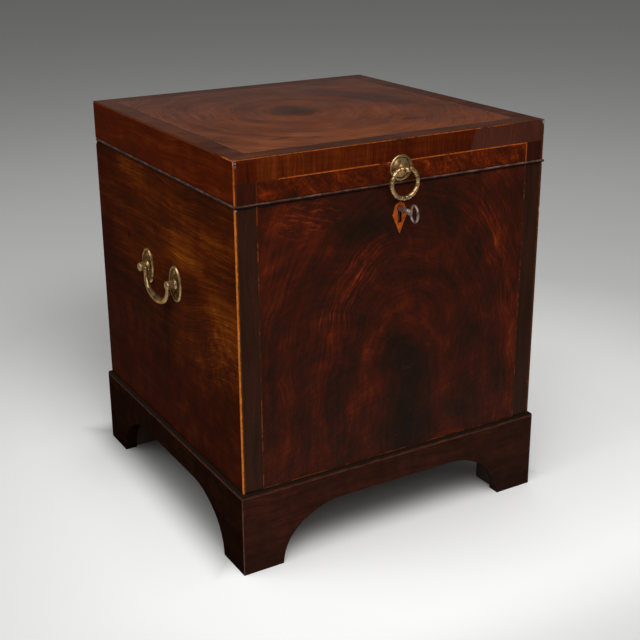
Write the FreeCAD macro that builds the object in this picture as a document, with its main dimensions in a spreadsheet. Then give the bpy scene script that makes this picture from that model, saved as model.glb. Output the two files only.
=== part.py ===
import FreeCAD, Part

"""A square cellarette: a mahogany bottle case with a hinged lid, on a plinth with bracket feet.

Millimetres, +Z up, the front facing -Y.  The origin lies on the floor, under the middle of the box
that holds the closed piece with its key in the lock.  Sizes live in the spreadsheet.  A size is
written as an expression of its aliases, measured from the middle of the carcass on the floor.
"""
import math
import os
import re

import Sketcher
from FreeCAD import Placement, Rotation, Vector

SIZES = {
    # carcass
    "carcass_width": 476, "carcass_depth": 472, "carcass_height": 387, "board": 16,
    "bottom_board": 12, "bottom_rebate": 8, "veneer": 1,
    # plinth
    "plinth_height": 113, "plinth_thickness": 18, "plinth_overhang": 5, "foot_width": 60,
    "arch_rise": 76, "arch_foot_radius": 68, "arch_crown_radius": 110, "arch_blend_angle": 40,
    "moulding_height": 5, "moulding_round": 4, "foot_block": 38, "foot_block_lift": 1,
    # inlaid lines
    "corner_string": 3, "panel_string": 1.5, "panel_string_inset": 29.5,
    "edge_string": 2, "field_string": 1.2,
    # lid
    "lid_joint": 0.4, "lid_height": 59.6, "lid_rail": 14, "lid_board": 14, "lid_rebate": 7,
    "bead_height": 4, "bead_projection": 2, "bead_depth": 3, "lid_string_drop": 29.4,
    "banding": 27, "patch_length": 119.5, "patch_slant": 6,
    # bottle dividers
    "divider": 8, "divider_height": 230, "divider_fit": 0.1,
    # hinges
    "hinge_setback": 6, "hinge_length": 60, "hinge_spacing": 300, "knuckle_radius": 3,
    "knuckle_gap": 0.2, "leaf_width": 10, "leaf_thickness": 1.6, "hinge_pin_radius": 1.4,
    "pin_fit": 0.05, "mortise_clearance": 0.4, "stop_angle": 48, "hinge_screw_spacing": 40,
    # screws
    "screw_head": 2.4, "screw_shank": 1.3, "screw_length": 12, "screw_slot": 0.7,
    # lock
    "lock_width": 60, "lock_height": 53, "lock_depth": 11, "lock_wall": 1.5,
    "selvedge_width": 76, "selvedge_thickness": 2, "selvedge_depth": 12, "lock_screw_spacing": 67,
    "keyhole_drop": 32, "bolt_thickness": 3, "bolt_throw": 7, "bolt_bottom": 5.5, "bolt_height": 9.5,
    "staple_spacing": 30, "staple_thickness": 2, "staple_width": 6, "staple_height": 16,
    "eye_width": 3.8, "eye_height": 6.2, "eye_drop": 10, "finger_height": 4.6, "riser_width": 4,
    "lock_clearance": 0.4, "stud_radius": 1.5, "stud_boss": 3.2, "stud_x": 8, "stud_rise": 10,
    "link_width": 56, "link_depth": 8, "link_thickness": 2, "link_screw_spacing": 48,
    # key
    "key_reach": 42, "key_shaft": 3.2, "key_collar": 4, "key_collar_length": 2.5,
    "bit_length": 10, "bit_depth": 4, "bit_thickness": 2.6, "bow_height": 25, "bow_length": 18,
    "bow_rim": 2.7, "bow_thickness": 4.2,
    # escutcheon
    "kite_top": 9.5, "kite_shoulder": 6, "kite_shoulder_half": 7, "kite_waist": 8,
    "kite_half_width": 11.4, "kite_point": 34, "keyhole_radius": 4.4, "keyhole_slot": 6.4,
    "keyhole_length": 19,
    # ring pull
    "ring_drop": 37.4, "ring_radius": 20, "ring_wire": 3.2, "ring_pin": 1.9, "ring_pin_half": 7,
    "ring_standoff": 10, "ring_post": 3.4, "ring_eye": 2.2, "ring_ball": 3.7, "ring_collar": 6,
    "ring_plate": 17, "ring_rim_inner": 14.2, "ring_dish": 13, "ring_plate_edge": 1.6,
    "ring_rim_height": 2.6, "ring_dish_height": 1.4, "ring_dome_height": 4.6, "ring_dome_curve": 30,
    "ring_shank": 2.2, "ring_nut_radius": 5, "ring_nut_thickness": 3,
    # carrying handles
    "handle_drop": 148, "post_spacing": 96, "handle_standoff": 9, "handle_plate_width": 38,
    "handle_plate_height": 52, "handle_plate": 2.8, "handle_plate_edge": 1.2,
    "handle_plate_bevel": 1.4, "handle_rim": 1.2, "handle_dish": 1,
    "handle_screw_spacing": 34, "post_collar": 7.5, "post_collar_height": 2, "post_neck": 5.2,
    "post_eye": 2.4, "post_ball": 5.8, "post_ball_standoff": 12, "post_shank": 2.5,
    "post_shank_length": 10, "bail_pin": 2.1, "bail_clearance": 0.8, "bail_drop": 34.5, "bail_end": 2.9,
    "bail_grip": 5.3, "bail_corner": 22, "bail_curve": 65, "bail_pin_end": 5,
}

DERIVED = {
    "half_width": "carcass_width / 2",
    "half_depth": "carcass_depth / 2",
    "carcass_centre_y": "(key_reach - plinth_overhang) / 2",
    "carcass_top": "plinth_height + carcass_height",
    "front": "-half_depth",
    "inner_x": "half_width - board",
    "inner_y": "half_depth - board",
    "floor_top": "plinth_height + bottom_board",
    "plinth_x": "half_width + plinth_overhang",
    "plinth_y": "half_depth + plinth_overhang",
    "lid_base": "carcass_top + lid_joint",
    "lid_top": "lid_base + lid_height",
    "lid_board_top": "lid_top - veneer",
    "lid_board_base": "lid_board_top - lid_board",
    "lid_string_z": "lid_top - lid_string_drop",
    "lid_face_base": "lid_base + bead_height",
    "lid_face_top": "lid_top - edge_string",
    "string_x": "half_width - panel_string_inset",
    "panel_x": "string_x - panel_string / 2",
    "stile_x": "string_x + panel_string / 2",
    "face_x": "half_width - corner_string",
    "hinge_y": "half_depth - hinge_setback",
    "hinge_z": "carcass_top + lid_joint / 2",
    "key_z": "carcass_top - keyhole_drop",
    "lock_back": "front + board",
    "lock_front": "lock_back - lock_depth",
    "lock_centre_y": "(lock_front + lock_back) / 2",
    "cavity_front": "lock_front + lock_wall",
    "cavity_back": "lock_back - lock_wall",
    "bolt_front": "lock_centre_y - bolt_thickness / 2",
    "bolt_back": "lock_centre_y + bolt_thickness / 2",
    "bolt_base": "key_z + bolt_bottom",
    "bolt_top": "bolt_base + bolt_height",
    "eye_z": "carcass_top - eye_drop",
    "ring_z": "lid_top - ring_drop",
    "handle_z": "carcass_top - handle_drop",
    "handle_seat": "handle_plate - handle_dish",
    "bail_span": "post_spacing - 2 * (post_ball + bail_end + bail_clearance)",
}

DIRECTIONS = {
    "+z": Rotation(),
    "-z": Rotation(Vector(1, 0, 0), 180),
    "+x": Rotation(Vector(0, 1, 0), 90),
    "-x": Rotation(Vector(0, 1, 0), -90),
    "+y": Rotation(Vector(1, 0, 0), -90),
    "-y": Rotation(Vector(1, 0, 0), 90),
}

doc = FreeCAD.newDocument("cellarette")
sheet = doc.addObject("Spreadsheet::Sheet", "Sizes")
nodes = []


# ---------------------------------------------------------------- sizes and primitives

def fill_sheet():
    """Write each driving size into the sheet, beside its name."""
    for row, (alias, number) in enumerate(SIZES.items(), 1):
        sheet.set(f"A{row}", alias)
        sheet.set(f"B{row}", str(number))
        sheet.setAlias(f"B{row}", alias)
    doc.recompute()


def expand(text):
    """Write an expression out in cells of the sheet."""
    def cell(match):
        word = match.group()
        if word in DERIVED:
            return "(" + expand(DERIVED[word]) + ")"
        return "Sizes." + word if word in SIZES else word
    return re.sub(r"[a-z][a-z_0-9]*", cell, str(text))


def value(text):
    """The number that an expression stands for."""
    return float(sheet.evalExpression(expand(text)))


def add(kind, **sizes):
    """Make an object whose properties follow the sheet."""
    made = doc.addObject(kind, kind.split("::")[1])
    for name, text in sizes.items():
        made.setExpression(name, expand(text))
    return made


def place(made, x, y, z, direction="+z"):
    """Set an object at a point measured from the middle of the carcass, its own Z along direction."""
    made.Placement = Placement(Vector(), DIRECTIONS[direction])
    for axis, text in (("x", x), ("y", f"carcass_centre_y + ({y})"), ("z", z)):
        made.setExpression("Placement.Base." + axis, expand(text))
    return made


def box(x, y, z):
    """A block between two values on each axis."""
    sizes = [f"({high}) - ({low})" for low, high in (x, y, z)]
    made = add("Part::Box", Length=sizes[0], Width=sizes[1], Height=sizes[2])
    return place(made, x[0], y[0], z[0])


def both_ways(text):
    """The span that reaches as far to each side of zero."""
    return (f"-({text})", text)


def rod(radius, length, x, y, z, direction="+z"):
    """A cylinder that starts at a point and runs along a direction."""
    return place(add("Part::Cylinder", Radius=radius, Height=length), x, y, z, direction)


def ball(radius, x, y, z):
    """A sphere about a point."""
    return place(add("Part::Sphere", Radius=radius), x, y, z)


def cut(base, *tools):
    """One object less the others."""
    made = add("Part::Cut")
    made.Base = base
    made.Tool = tools[0] if len(tools) == 1 else fuse(*tools)
    return made


def common(base, tool):
    """What two objects share."""
    made = add("Part::Common")
    made.Base, made.Tool = base, tool
    return made


def fuse(*shapes):
    """Several objects made one solid."""
    made = add("Part::MultiFuse")
    made.Shapes = list(shapes)
    return made


def group(*shapes):
    """Several like pieces kept as separate solids."""
    made = add("Part::Compound")
    made.Links = list(shapes)
    return made


def node(name, made):
    """Name a finished sub-part."""
    made.Label = name
    nodes.append(made)
    return made


def arc_between(start, end, radius):
    """The minor arc between two points: counter-clockwise for a positive radius."""
    chord = end - start
    side = Vector(-chord.y, chord.x, 0).normalize()
    rise = math.sqrt(max(radius ** 2 - (chord.Length / 2) ** 2, 0))
    centre = (start + end) / 2 + side * math.copysign(rise, radius)
    first, last = (start, end) if radius > 0 else (end, start)
    angles = [math.atan2(p.y - centre.y, p.x - centre.x) for p in (first, last)]
    return Part.ArcOfCircle(Part.Circle(centre, Vector(0, 0, 1), abs(radius)), *angles)


def draw(sketch, outline):
    """Draw a closed outline of points (u, v) or (u, v, radius of the arc that ends there)."""
    points = [Vector(value(point[0]), value(point[1]), 0) for point in outline]
    ends = []
    for index, point in enumerate(outline):
        start, end = points[index - 1], points[index]
        bend = value(point[2]) if len(point) > 2 else 0
        edge = arc_between(start, end, bend) if bend else Part.LineSegment(start, end)
        sketch.addGeometry(edge, False)
        ends.append((1, 2) if bend >= 0 else (2, 1))
        if bend:
            radius = sketch.addConstraint(Sketcher.Constraint("Radius", index, abs(bend)))
            sketch.setExpression(f"Constraints[{radius}]", f"abs({expand(point[2])})")
    for index, point in enumerate(outline):
        following = (index + 1) % len(outline)
        joint = Sketcher.Constraint("Coincident", index, ends[index][1], following, ends[following][0])
        sketch.addConstraint(joint)
        for kind, number, text in (("DistanceX", points[index].x, point[0]),
                                   ("DistanceY", points[index].y, point[1])):
            where = Sketcher.Constraint(kind, -1, 1, index, ends[index][1], number)
            sketch.setExpression(f"Constraints[{sketch.addConstraint(where)}]", expand(text))


def sketched_body(plane, outline):
    """A body with one sketch on a plane of its own."""
    body = doc.addObject("PartDesign::Body", "Body")
    origin = {feature.Role: feature for feature in body.Origin.OriginFeatures}
    sketch = body.newObject("Sketcher::SketchObject", "Outline")
    sketch.AttachmentSupport = [(origin[plane], "")]
    sketch.MapMode = "FlatFace"
    draw(sketch, outline)
    return body, sketch, origin


def prism(across, outline, low, high):
    """An outline padded between two values on the axis across it."""
    plane = {"x": "YZ_Plane", "y": "XZ_Plane", "z": "XY_Plane"}[across]
    body, sketch, _ = sketched_body(plane, outline)
    pad = body.newObject("PartDesign::Pad", "Pad")
    pad.Profile = sketch
    pad.Reversed = across == "y"
    pad.setExpression("Length", expand(f"({high}) - ({low})"))
    start = {axis: low if axis == across else "0" for axis in "xyz"}
    return place(body, start["x"], start["y"], start["z"])


def turning(outline, x, y, z, direction):
    """An outline (radius, height) turned about a direction through a point."""
    body, sketch, origin = sketched_body("XZ_Plane", outline)
    turned = body.newObject("PartDesign::Revolution", "Turning")
    turned.Profile = sketch
    turned.ReferenceAxis = (origin["Z_Axis"], [""])
    turned.Angle = 360
    return place(body, x, y, z, direction)


def oval_loft(rims, x, y, z, direction):
    """A solid through oval rims (half length, half width, height) stacked along a direction."""
    loft = add("Part::Loft")
    ovals = []
    for half_length, half_width, height in rims:
        oval = add("Part::Ellipse", MajorRadius=half_length, MinorRadius=half_width)
        oval.setExpression("Placement.Base.z", expand(height))
        ovals.append(oval)
    loft.Sections = ovals
    loft.Solid = True
    loft.Ruled = True
    return place(loft, x, y, z, direction)


def mitred(half_x, half_y, thickness, low, high):
    """Four boards with mitred corners: front, back, left and right."""
    outer = [(f"-({half_x})", f"-({half_y})"), (half_x, f"-({half_y})"),
             (half_x, half_y), (f"-({half_x})", half_y)]
    in_x, in_y = f"({half_x}) - ({thickness})", f"({half_y}) - ({thickness})"
    inner = [(f"-({in_x})", f"-({in_y})"), (in_x, f"-({in_y})"), (in_x, in_y), (f"-({in_x})", in_y)]
    sides = {"front": (0, 1), "back": (2, 3), "left": (3, 0), "right": (1, 2)}
    return {side: prism("z", [outer[a], outer[b], inner[b], inner[a]], low, high)
            for side, (a, b) in sides.items()}


def screw(x, y, z, direction):
    """A countersunk wood screw, its head flush at a point, driven along a direction."""
    outline = [("0", "0"), ("screw_head", "0"), ("screw_shank", "screw_head - screw_shank"),
               ("screw_shank", "screw_length - screw_shank"), ("0", "screw_length")]
    return turning(outline, x, y, z, direction)


def slot_in(x, y, z, direction):
    """The driver slot across a screw's head."""
    along = direction[1]
    depth = both_ways("screw_slot")
    spans = {axis: both_ways("screw_head + 1") if axis == "yx"[along == "y"]
             else both_ways("screw_slot / 2") for axis in "xyz"}
    spans[along] = depth
    at = {"x": x, "y": y, "z": z}
    low_high = [(f"({at[axis]}) + ({spans[axis][0]})", f"({at[axis]}) + ({spans[axis][1]})")
                for axis in "xyz"]
    return box(*low_high)


# ---------------------------------------------------------------- shared cutters

def corner_lines(low, high):
    """The two upright lines let into the front arrises."""
    depth = ("front", "front + corner_string")
    return [box(x, depth, (low, high))
            for x in (("-half_width", "-face_x"), ("face_x", "half_width"))]


def stop_groove():
    """The V cut along the rear joint, in which the raised lid comes to rest."""
    drop = "hinge_setback * 2 * tan(stop_angle)"
    far = "hinge_y + hinge_setback * 2"
    outline = [("hinge_y", "hinge_z"), (far, f"hinge_z - {drop}"), (far, f"hinge_z + {drop}")]
    return prism("x", outline, "-plinth_x", "plinth_x")


def knuckle_mortises():
    """The round housings for the hinge knuckles."""
    length = "hinge_length + 2 * mortise_clearance"
    return [rod("knuckle_radius + mortise_clearance", length,
                f"{side} * hinge_spacing / 2 - ({length}) / 2", "hinge_y", "hinge_z", "+x")
            for side in (-1, 1)]


def leaf_housing(side, low, high):
    """The shallow housing for one hinge leaf."""
    centre = f"{side} * hinge_spacing / 2"
    return box((f"{centre} - hinge_length / 2", f"{centre} + hinge_length / 2"),
               ("hinge_y - leaf_width", "hinge_y"), (low, high))


def keyhole(low, high, radius, slot, length):
    """A round hole with a slot below it, cut through from low to high on Y."""
    barrel = rod(radius, f"({high}) - ({low})", "0", low, "key_z", "+y")
    return fuse(barrel, box(both_ways(f"({slot}) / 2"), (low, high), (f"key_z - ({length})", "key_z")))


def kite(low, high):
    """The kite outline of the escutcheon."""
    shoulder, waist = "key_z + kite_shoulder", "key_z - kite_waist"
    outline = [("0", "key_z + kite_top"), ("-kite_shoulder_half", shoulder),
               ("-kite_half_width", waist), ("0", "key_z - kite_point"),
               ("kite_half_width", waist), ("kite_shoulder_half", shoulder)]
    return prism("y", outline, low, high)


# ---------------------------------------------------------------- screws

def hinge_screws(z, direction):
    """The places of the screws in both hinges."""
    y = "hinge_y - (leaf_width + knuckle_radius) / 2"
    return [(f"{side} * hinge_spacing / 2 + {end} * hinge_screw_spacing / 2", y, z, direction)
            for side in (-1, 1) for end in (-1, 1)]


def screw_set(places):
    """Screws, with the same screws unslotted as the cutter for their holes."""
    plain = [screw(*where) for where in places]
    slotted = cut(group(*plain), *[slot_in(*where) for where in places])
    return slotted, group(*plain)


# ---------------------------------------------------------------- carcass

def build_plinth():
    """Four mitred plinth boards, arched between bracket feet, with an ovolo on their ledge."""
    boards = mitred("plinth_x", "plinth_y", "plinth_thickness", "0", "plinth_height")
    for side, made in boards.items():
        along = "x" if side in ("front", "back") else "y"
        node("plinth_" + side, cut(made, arch(side, along)))
    ledges = mitred("plinth_x", "plinth_y", "plinth_overhang", "plinth_height",
                    "plinth_height + moulding_height")
    node("plinth_moulding", group(*[common(ledge, ovolo(side)) for side, ledge in ledges.items()]))
    node("foot_blocks", group(*[foot_block(x, y) for x in (-1, 1) for y in (-1, 1)]))


def arch(side, along):
    """The opening under one plinth board: a flat crown, and a curve of two arcs down to each foot."""
    half = f"plinth_{along} - foot_width"
    swing = "(arch_crown_radius - arch_foot_radius)"
    crown_half = f"{half} - arch_foot_radius - {swing} * sin(arch_blend_angle)"
    blend_u = f"{crown_half} + arch_crown_radius * sin(arch_blend_angle)"
    blend_z = "arch_rise - arch_crown_radius * (1 - cos(arch_blend_angle))"
    spring_z = f"arch_rise - arch_crown_radius + {swing} * cos(arch_blend_angle)"
    below = f"{spring_z} - plinth_thickness"
    outline = [(half, below), (half, spring_z), (blend_u, blend_z, "arch_foot_radius"),
               (crown_half, "arch_rise", "arch_crown_radius"), (f"-({crown_half})", "arch_rise"),
               (f"-({blend_u})", blend_z, "arch_crown_radius"),
               (f"-({half})", spring_z, "arch_foot_radius"), (f"-({half})", below)]
    edge = "plinth_y" if along == "x" else "plinth_x"
    inner = f"{edge} - plinth_thickness - foot_block_lift"
    outer = f"{edge} + foot_block_lift"
    span = (inner, outer) if side in ("back", "right") else (f"-({outer})", f"-({inner})")
    return prism("y" if along == "x" else "x", outline, *span)


def ovolo(side):
    """A quarter-round bar along one side of the plinth's ledge."""
    along_x = side in ("front", "back")
    near, far = ("half_depth", "plinth_y") if along_x else ("half_width", "plinth_x")
    top = "plinth_height + moulding_height"
    shelf, lip = f"{far} - moulding_round", f"{top} - moulding_round"
    sign = 1 if side in ("back", "right") else -1
    outline = [(f"{sign} * ({near})", "plinth_height"), (f"{sign} * ({far})", "plinth_height"),
               (f"{sign} * ({far})", lip),
               (f"{sign} * ({shelf})", top, f"{sign} * moulding_round"), (f"{sign} * ({near})", top)]
    return prism("x" if along_x else "y", outline, *both_ways("plinth_x"))


def foot_block(side_x, side_y):
    """A glue block in one inner corner of the plinth, clear of the floor."""
    spans = []
    for sign, half in ((side_x, "plinth_x"), (side_y, "plinth_y")):
        outer = f"{half} - plinth_thickness"
        inner = f"{outer} - foot_block"
        spans.append((inner, outer) if sign > 0 else (f"-({outer})", f"-({inner})"))
    return box(*spans, ("foot_block_lift", "plinth_height"))


def build_carcass(screw_holes, post_holes):
    """Four mitred boards, their rebated bottom board and the skin of the front."""
    boards = mitred("half_width", "half_depth", "board", "plinth_height", "carcass_top")
    rebate = box(both_ways("inner_x + bottom_rebate"), both_ways("inner_y + bottom_rebate"),
                 ("plinth_height", "floor_top"))
    node("bottom_board", rebate)
    lines = corner_lines("plinth_height", "carcass_top")
    node("corner_stringing", group(*lines))
    skin = box(both_ways("face_x"), ("front", "front + veneer"), ("plinth_height", "carcass_top"))
    key_way = keyhole("front", "lock_front", "keyhole_radius", "keyhole_slot", "keyhole_length")
    node("front_board", cut(boards["front"], skin, *lines, rebate, key_way, lock_outer(), screw_holes))
    leaves = [leaf_housing(side, "carcass_top - leaf_thickness", "lid_base") for side in (-1, 1)]
    node("back_board", cut(boards["back"], rebate, stop_groove(), screw_holes,
                           *knuckle_mortises(), *leaves))
    for side, line in (("left", lines[0]), ("right", lines[1])):
        node(side + "_side_board", cut(boards[side], line, rebate, stop_groove(), post_holes))
    build_front_skin(skin)


def build_front_skin(skin):
    """The flame veneer, its border line, the stiles and the kite escutcheon."""
    depth = ("front", "front + veneer")
    base = "plinth_height + moulding_height"
    outer = box(both_ways("stile_x"), depth, (base, "carcass_top"))
    inner = box(both_ways("panel_x"), depth, (f"{base} + panel_string", "carcass_top"))
    line = cut(outer, inner)
    node("front_stringing", line)
    key_way = keyhole("front", "front + veneer", "keyhole_radius", "keyhole_slot", "keyhole_length")
    node("escutcheon", cut(kite(*depth), key_way))
    middle = box(both_ways("stile_x"), depth, ("plinth_height", "carcass_top"))
    node("front_panel_veneer", cut(middle, line, kite(*depth)))
    node("front_stiles", cut(skin, box(both_ways("stile_x"), depth, ("plinth_height", "carcass_top"))))


def build_dividers():
    """Three long and three cross dividers, halved over each other into sixteen bottle wells."""
    half_height = "floor_top + divider_height / 2"
    top = "floor_top + divider_height"
    spans = {"long": ("inner_x", "inner_y"), "cross": ("inner_y", "inner_x")}
    for name, (length, pitch) in spans.items():
        for number in (1, 2, 3):
            step = f"({pitch}) / 2 * {number - 2}"
            other = f"({length}) / 2"
            notch = (half_height, f"{top} + divider") if name == "long" else ("0", half_height)
            slab = [both_ways(f"{length} - divider_fit"), thickness_at(step)]
            slots = [[thickness_at(f"{other} * {place_at}", "divider_fit"), thickness_at(step, "divider")]
                     for place_at in (-1, 0, 1)]
            order = 1 if name == "long" else -1
            body = box(*slab[::order], ("floor_top", top))
            cuts = [box(*slot[::order], notch) for slot in slots]
            node(f"divider_{name}_{number}", cut(body, *cuts))


def thickness_at(centre, extra="0"):
    """A divider's thickness about a value, with something extra on each side."""
    return (f"{centre} - divider / 2 - {extra}", f"{centre} + divider / 2 + {extra}")


# ---------------------------------------------------------------- lid

def build_lid(screw_holes):
    """Mitred rails, the top board in their rebates, the bead and the skins."""
    rails = mitred("half_width", "half_depth", "lid_rail", "lid_base", "lid_board_top")
    rebate = box(both_ways("half_width - lid_rebate"), both_ways("half_depth - lid_rebate"),
                 ("lid_board_base", "lid_board_top"))
    node("lid_top_board", rebate)
    edges = list(mitred("half_width", "half_depth", "edge_string", "lid_face_top", "lid_top").values())
    corners = corner_lines("lid_face_base", "lid_face_top")
    node("lid_edge_stringing", group(*edges, *corners))
    skin = box(both_ways("face_x"), ("front", "front + veneer"), ("lid_face_base", "lid_face_top"))
    beads = bead_bars()
    node("lid_bead", group(*beads.values()))
    link = box(both_ways("link_width / 2"), link_depth_span(), ("lid_base", "lid_base + link_thickness"))
    shank = rod("ring_shank", "lid_rail", "0", "front", "ring_z", "+y")
    node("lid_front_rail", cut(rails["front"], rebate, *edges, *corners, skin, beads["front"],
                               link, shank, screw_holes))
    for side, corner in (("left", corners[0]), ("right", corners[1])):
        node(f"lid_{side}_rail", cut(rails[side], rebate, *edges, corner, beads[side], stop_groove()))
    leaves = [leaf_housing(side, "carcass_top", "lid_base + leaf_thickness") for side in (-1, 1)]
    node("lid_back_rail", cut(rails["back"], rebate, *edges, stop_groove(), screw_holes,
                              *knuckle_mortises(), *leaves))
    build_lid_top()
    build_lid_front()


def link_depth_span():
    """Where the link plate lies on Y."""
    return ("lock_centre_y - link_depth / 2", "lock_centre_y + link_depth / 2")


def bead_bars():
    """The half-round bead let into the foot of the front and side rails."""
    half_x, half_y = "half_width + bead_projection", "half_depth + bead_projection"
    bars = mitred(half_x, half_y, "bead_projection + bead_depth", "lid_base", "lid_face_base")
    ahead = box(both_ways("plinth_x"), ("-plinth_y", "hinge_y"), ("lid_base", "lid_face_base"))
    beads = {}
    for side in ("front", "left", "right"):
        beads[side] = common(bars[side], nose(side))
        if side != "front":
            beads[side] = common(beads[side], ahead)
    return beads


def nose(side):
    """A bar with a round nose along one side of the lid's foot."""
    half = "half_depth" if side == "front" else "half_width"
    sign = 1 if side == "right" else -1
    back, flat = f"{sign} * ({half} - bead_depth)", f"{sign} * ({half})"
    tip = f"{sign} * ({half} + bead_projection)"
    middle, radius = "lid_base + bead_height / 2", f"{sign} * bead_height / 2"
    outline = [(back, "lid_base"), (flat, "lid_base"), (tip, middle, radius),
               (flat, "lid_face_base", radius), (back, "lid_face_base")]
    return prism("x" if side == "front" else "y", outline, *both_ways("plinth_x"))


def build_lid_top():
    """The figured field, the line round it and the mitred crossbanding."""
    level = ("lid_board_top", "lid_top")
    band = mitred("half_width - edge_string", "half_depth - edge_string", "banding", *level)
    node("lid_top_banding", group(*band.values()))
    line_x, line_y = "half_width - edge_string - banding", "half_depth - edge_string - banding"
    line = box(both_ways(line_x), both_ways(line_y), level)
    field = box(both_ways(f"{line_x} - field_string"), both_ways(f"{line_y} - field_string"), level)
    node("lid_top_stringing", cut(line, field))
    node("lid_top_veneer", field)


def build_lid_front():
    """The cross-grained band, its patch, the border line, the panel and the stiles."""
    depth = ("front", "front + veneer")
    line_low = "lid_string_z - panel_string / 2"
    line_high = "lid_string_z + panel_string / 2"
    outer = box(both_ways("stile_x"), depth, ("lid_face_base", line_high))
    inner = box(both_ways("panel_x"), depth, ("lid_face_base", line_low))
    node("lid_front_stringing", cut(outer, inner))
    node("lid_front_veneer", cut(inner, rod("ring_shank", "veneer", "0", "front", "ring_z", "+y")))
    stiles = [box(x, depth, ("lid_face_base", line_high))
              for x in (("-face_x", "-stile_x"), ("stile_x", "face_x"))]
    node("lid_front_stiles", group(*stiles))
    seam = "half_width - patch_length"
    patch = [(f"{seam} - patch_slant", line_high), ("face_x", line_high),
             ("face_x", "lid_face_top"), (seam, "lid_face_top")]
    band = [("-face_x", line_high), patch[0], patch[3], ("-face_x", "lid_face_top")]
    node("lid_front_band", prism("y", band, *depth))
    node("lid_front_band_patch", prism("y", patch, *depth))


# ---------------------------------------------------------------- hinges

def build_hinges(carcass_holes, lid_holes):
    """Two five-knuckle butt hinges with loose-fitting pins."""
    for side, name in ((-1, "left"), (1, "right")):
        node(f"{name}_hinge_carcass_leaf",
             leaf(side, (0, 2, 4), "carcass_top - leaf_thickness", "carcass_top", carcass_holes))
        node(f"{name}_hinge_lid_leaf",
             leaf(side, (1, 3), "lid_base", "lid_base + leaf_thickness", lid_holes))
        start = f"{side} * hinge_spacing / 2 - hinge_length / 2"
        node(f"{name}_hinge_pin", rod("hinge_pin_radius", "hinge_length", start, "hinge_y", "hinge_z", "+x"))


def leaf(side, knuckles, low, high, holes):
    """One hinge leaf with its own knuckles."""
    pitch = "hinge_length / 5"
    start = f"{side} * hinge_spacing / 2 - hinge_length / 2"
    plate_edge = "hinge_y - knuckle_radius - mortise_clearance"
    plate = box((start, f"{start} + hinge_length"), ("hinge_y - leaf_width", plate_edge), (low, high))
    pieces = [plate]
    for number in knuckles:
        near = f"{start} + {pitch} * {number} + knuckle_gap / 2"
        pieces.append(rod("knuckle_radius", f"{pitch} - knuckle_gap", near, "hinge_y", "hinge_z", "+x"))
        pieces.append(box((near, f"{near} + {pitch} - knuckle_gap"), (plate_edge, "hinge_y"), (low, high)))
    bore = rod("hinge_pin_radius + pin_fit", "hinge_length", start, "hinge_y", "hinge_z", "+x")
    return cut(fuse(*pieces), bore, holes)


# ---------------------------------------------------------------- lock

def lock_outer():
    """The whole outside of the lock, which is also its housing in the front board."""
    case = box(both_ways("lock_width / 2"), ("lock_front", "lock_back"),
               ("carcass_top - lock_height", "carcass_top"))
    return fuse(case, selvedge())


def selvedge():
    """The plate along the lock's top edge."""
    return box(both_ways("selvedge_width / 2"), ("lock_back - selvedge_depth", "lock_back"),
               ("carcass_top - selvedge_thickness", "carcass_top"))


def staple_x(side, offset):
    """A place on X beside one staple of the link plate."""
    return f"{side} * staple_spacing / 2 + ({offset})"


def build_lock(carcass_holes, lid_holes):
    """A box lock with a sliding bolt, and the link plate with two staples that it holds."""
    roof = "carcass_top - selvedge_thickness"
    floor = "carcass_top - lock_height"
    cavity = box(both_ways("lock_width / 2 - lock_wall"), ("cavity_front", "cavity_back"),
                 (f"{floor} + lock_wall", roof))
    slots = [box((staple_x(side, "-staple_thickness / 2 - lock_clearance"),
                  staple_x(side, "staple_thickness / 2 + lock_clearance")),
                 ("lock_centre_y - staple_width / 2 - 2 * lock_clearance",
                  "lock_centre_y + staple_width / 2 + 2 * lock_clearance"), (roof, "lid_base"))
             for side in (-1, 1)]
    key_way = keyhole("lock_front", "cavity_front", "key_shaft + lock_clearance",
                      "bit_thickness + 2 * lock_clearance", "bit_length + lock_clearance")
    boss = rod("stud_boss", "bolt_front - lock_clearance - lock_front", "stud_x", "lock_front",
               "key_z + stud_rise", "+y")
    stud = rod("stud_radius", "bolt_back + lock_clearance - lock_front", "stud_x", "lock_front",
               "key_z + stud_rise", "+y")
    cover = box(both_ways("lock_width / 2"), ("cavity_back", "lock_back"), (floor, roof))
    foot = rod("stud_boss", "cavity_back - bolt_back - lock_clearance", "stud_x",
               "bolt_back + lock_clearance", "key_z + stud_rise", "+y")
    shell = cut(lock_outer(), cavity, cover, *slots, key_way, carcass_holes)
    node("lock_case", group(fuse(shell, boss, stud), fuse(cover, foot)))
    node("lock_bolt", bolt())
    node("link_plate", cut(link_plate(), lid_holes))


def bolt():
    """A flat bolt with two fingers, a slot that rides on the stud and a notch for the key's bit."""
    depth = ("bolt_front", "bolt_back")
    throat = "staple_thickness / 2 + lock_clearance"
    fingers, risers = [], []
    for side in (-1, 1):
        near = f"-({throat}) - bolt_throw - riser_width"
        height = ("bolt_base", "eye_z + finger_height / 2")
        risers.append(box((staple_x(side, near), staple_x(side, f"{near} + riser_width")), depth, height))
        fingers.append(box((staple_x(side, near), staple_x(side, f"-({throat})")), depth,
                           ("eye_z - finger_height / 2", "eye_z + finger_height / 2")))
    left = staple_x(-1, f"-({throat}) - bolt_throw - riser_width")
    bar = box((left, "stud_x + stud_boss"), depth, ("bolt_base", "bolt_top"))
    reach = "bit_length + lock_clearance"
    notch = box((f"-({reach}) - bolt_throw + bit_thickness / 2", "bit_thickness - bolt_throw"), depth,
                ("key_z", f"key_z + {reach}"))
    ride = "stud_radius + lock_clearance / 2"
    slot_z = ("key_z + stud_rise - (" + ride + ")", "key_z + stud_rise + (" + ride + ")")
    slot = box((f"stud_x - bolt_throw - ({ride})", f"stud_x + ({ride})"), depth, slot_z)
    return cut(fuse(bar, *risers, *fingers), notch, slot)


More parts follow.
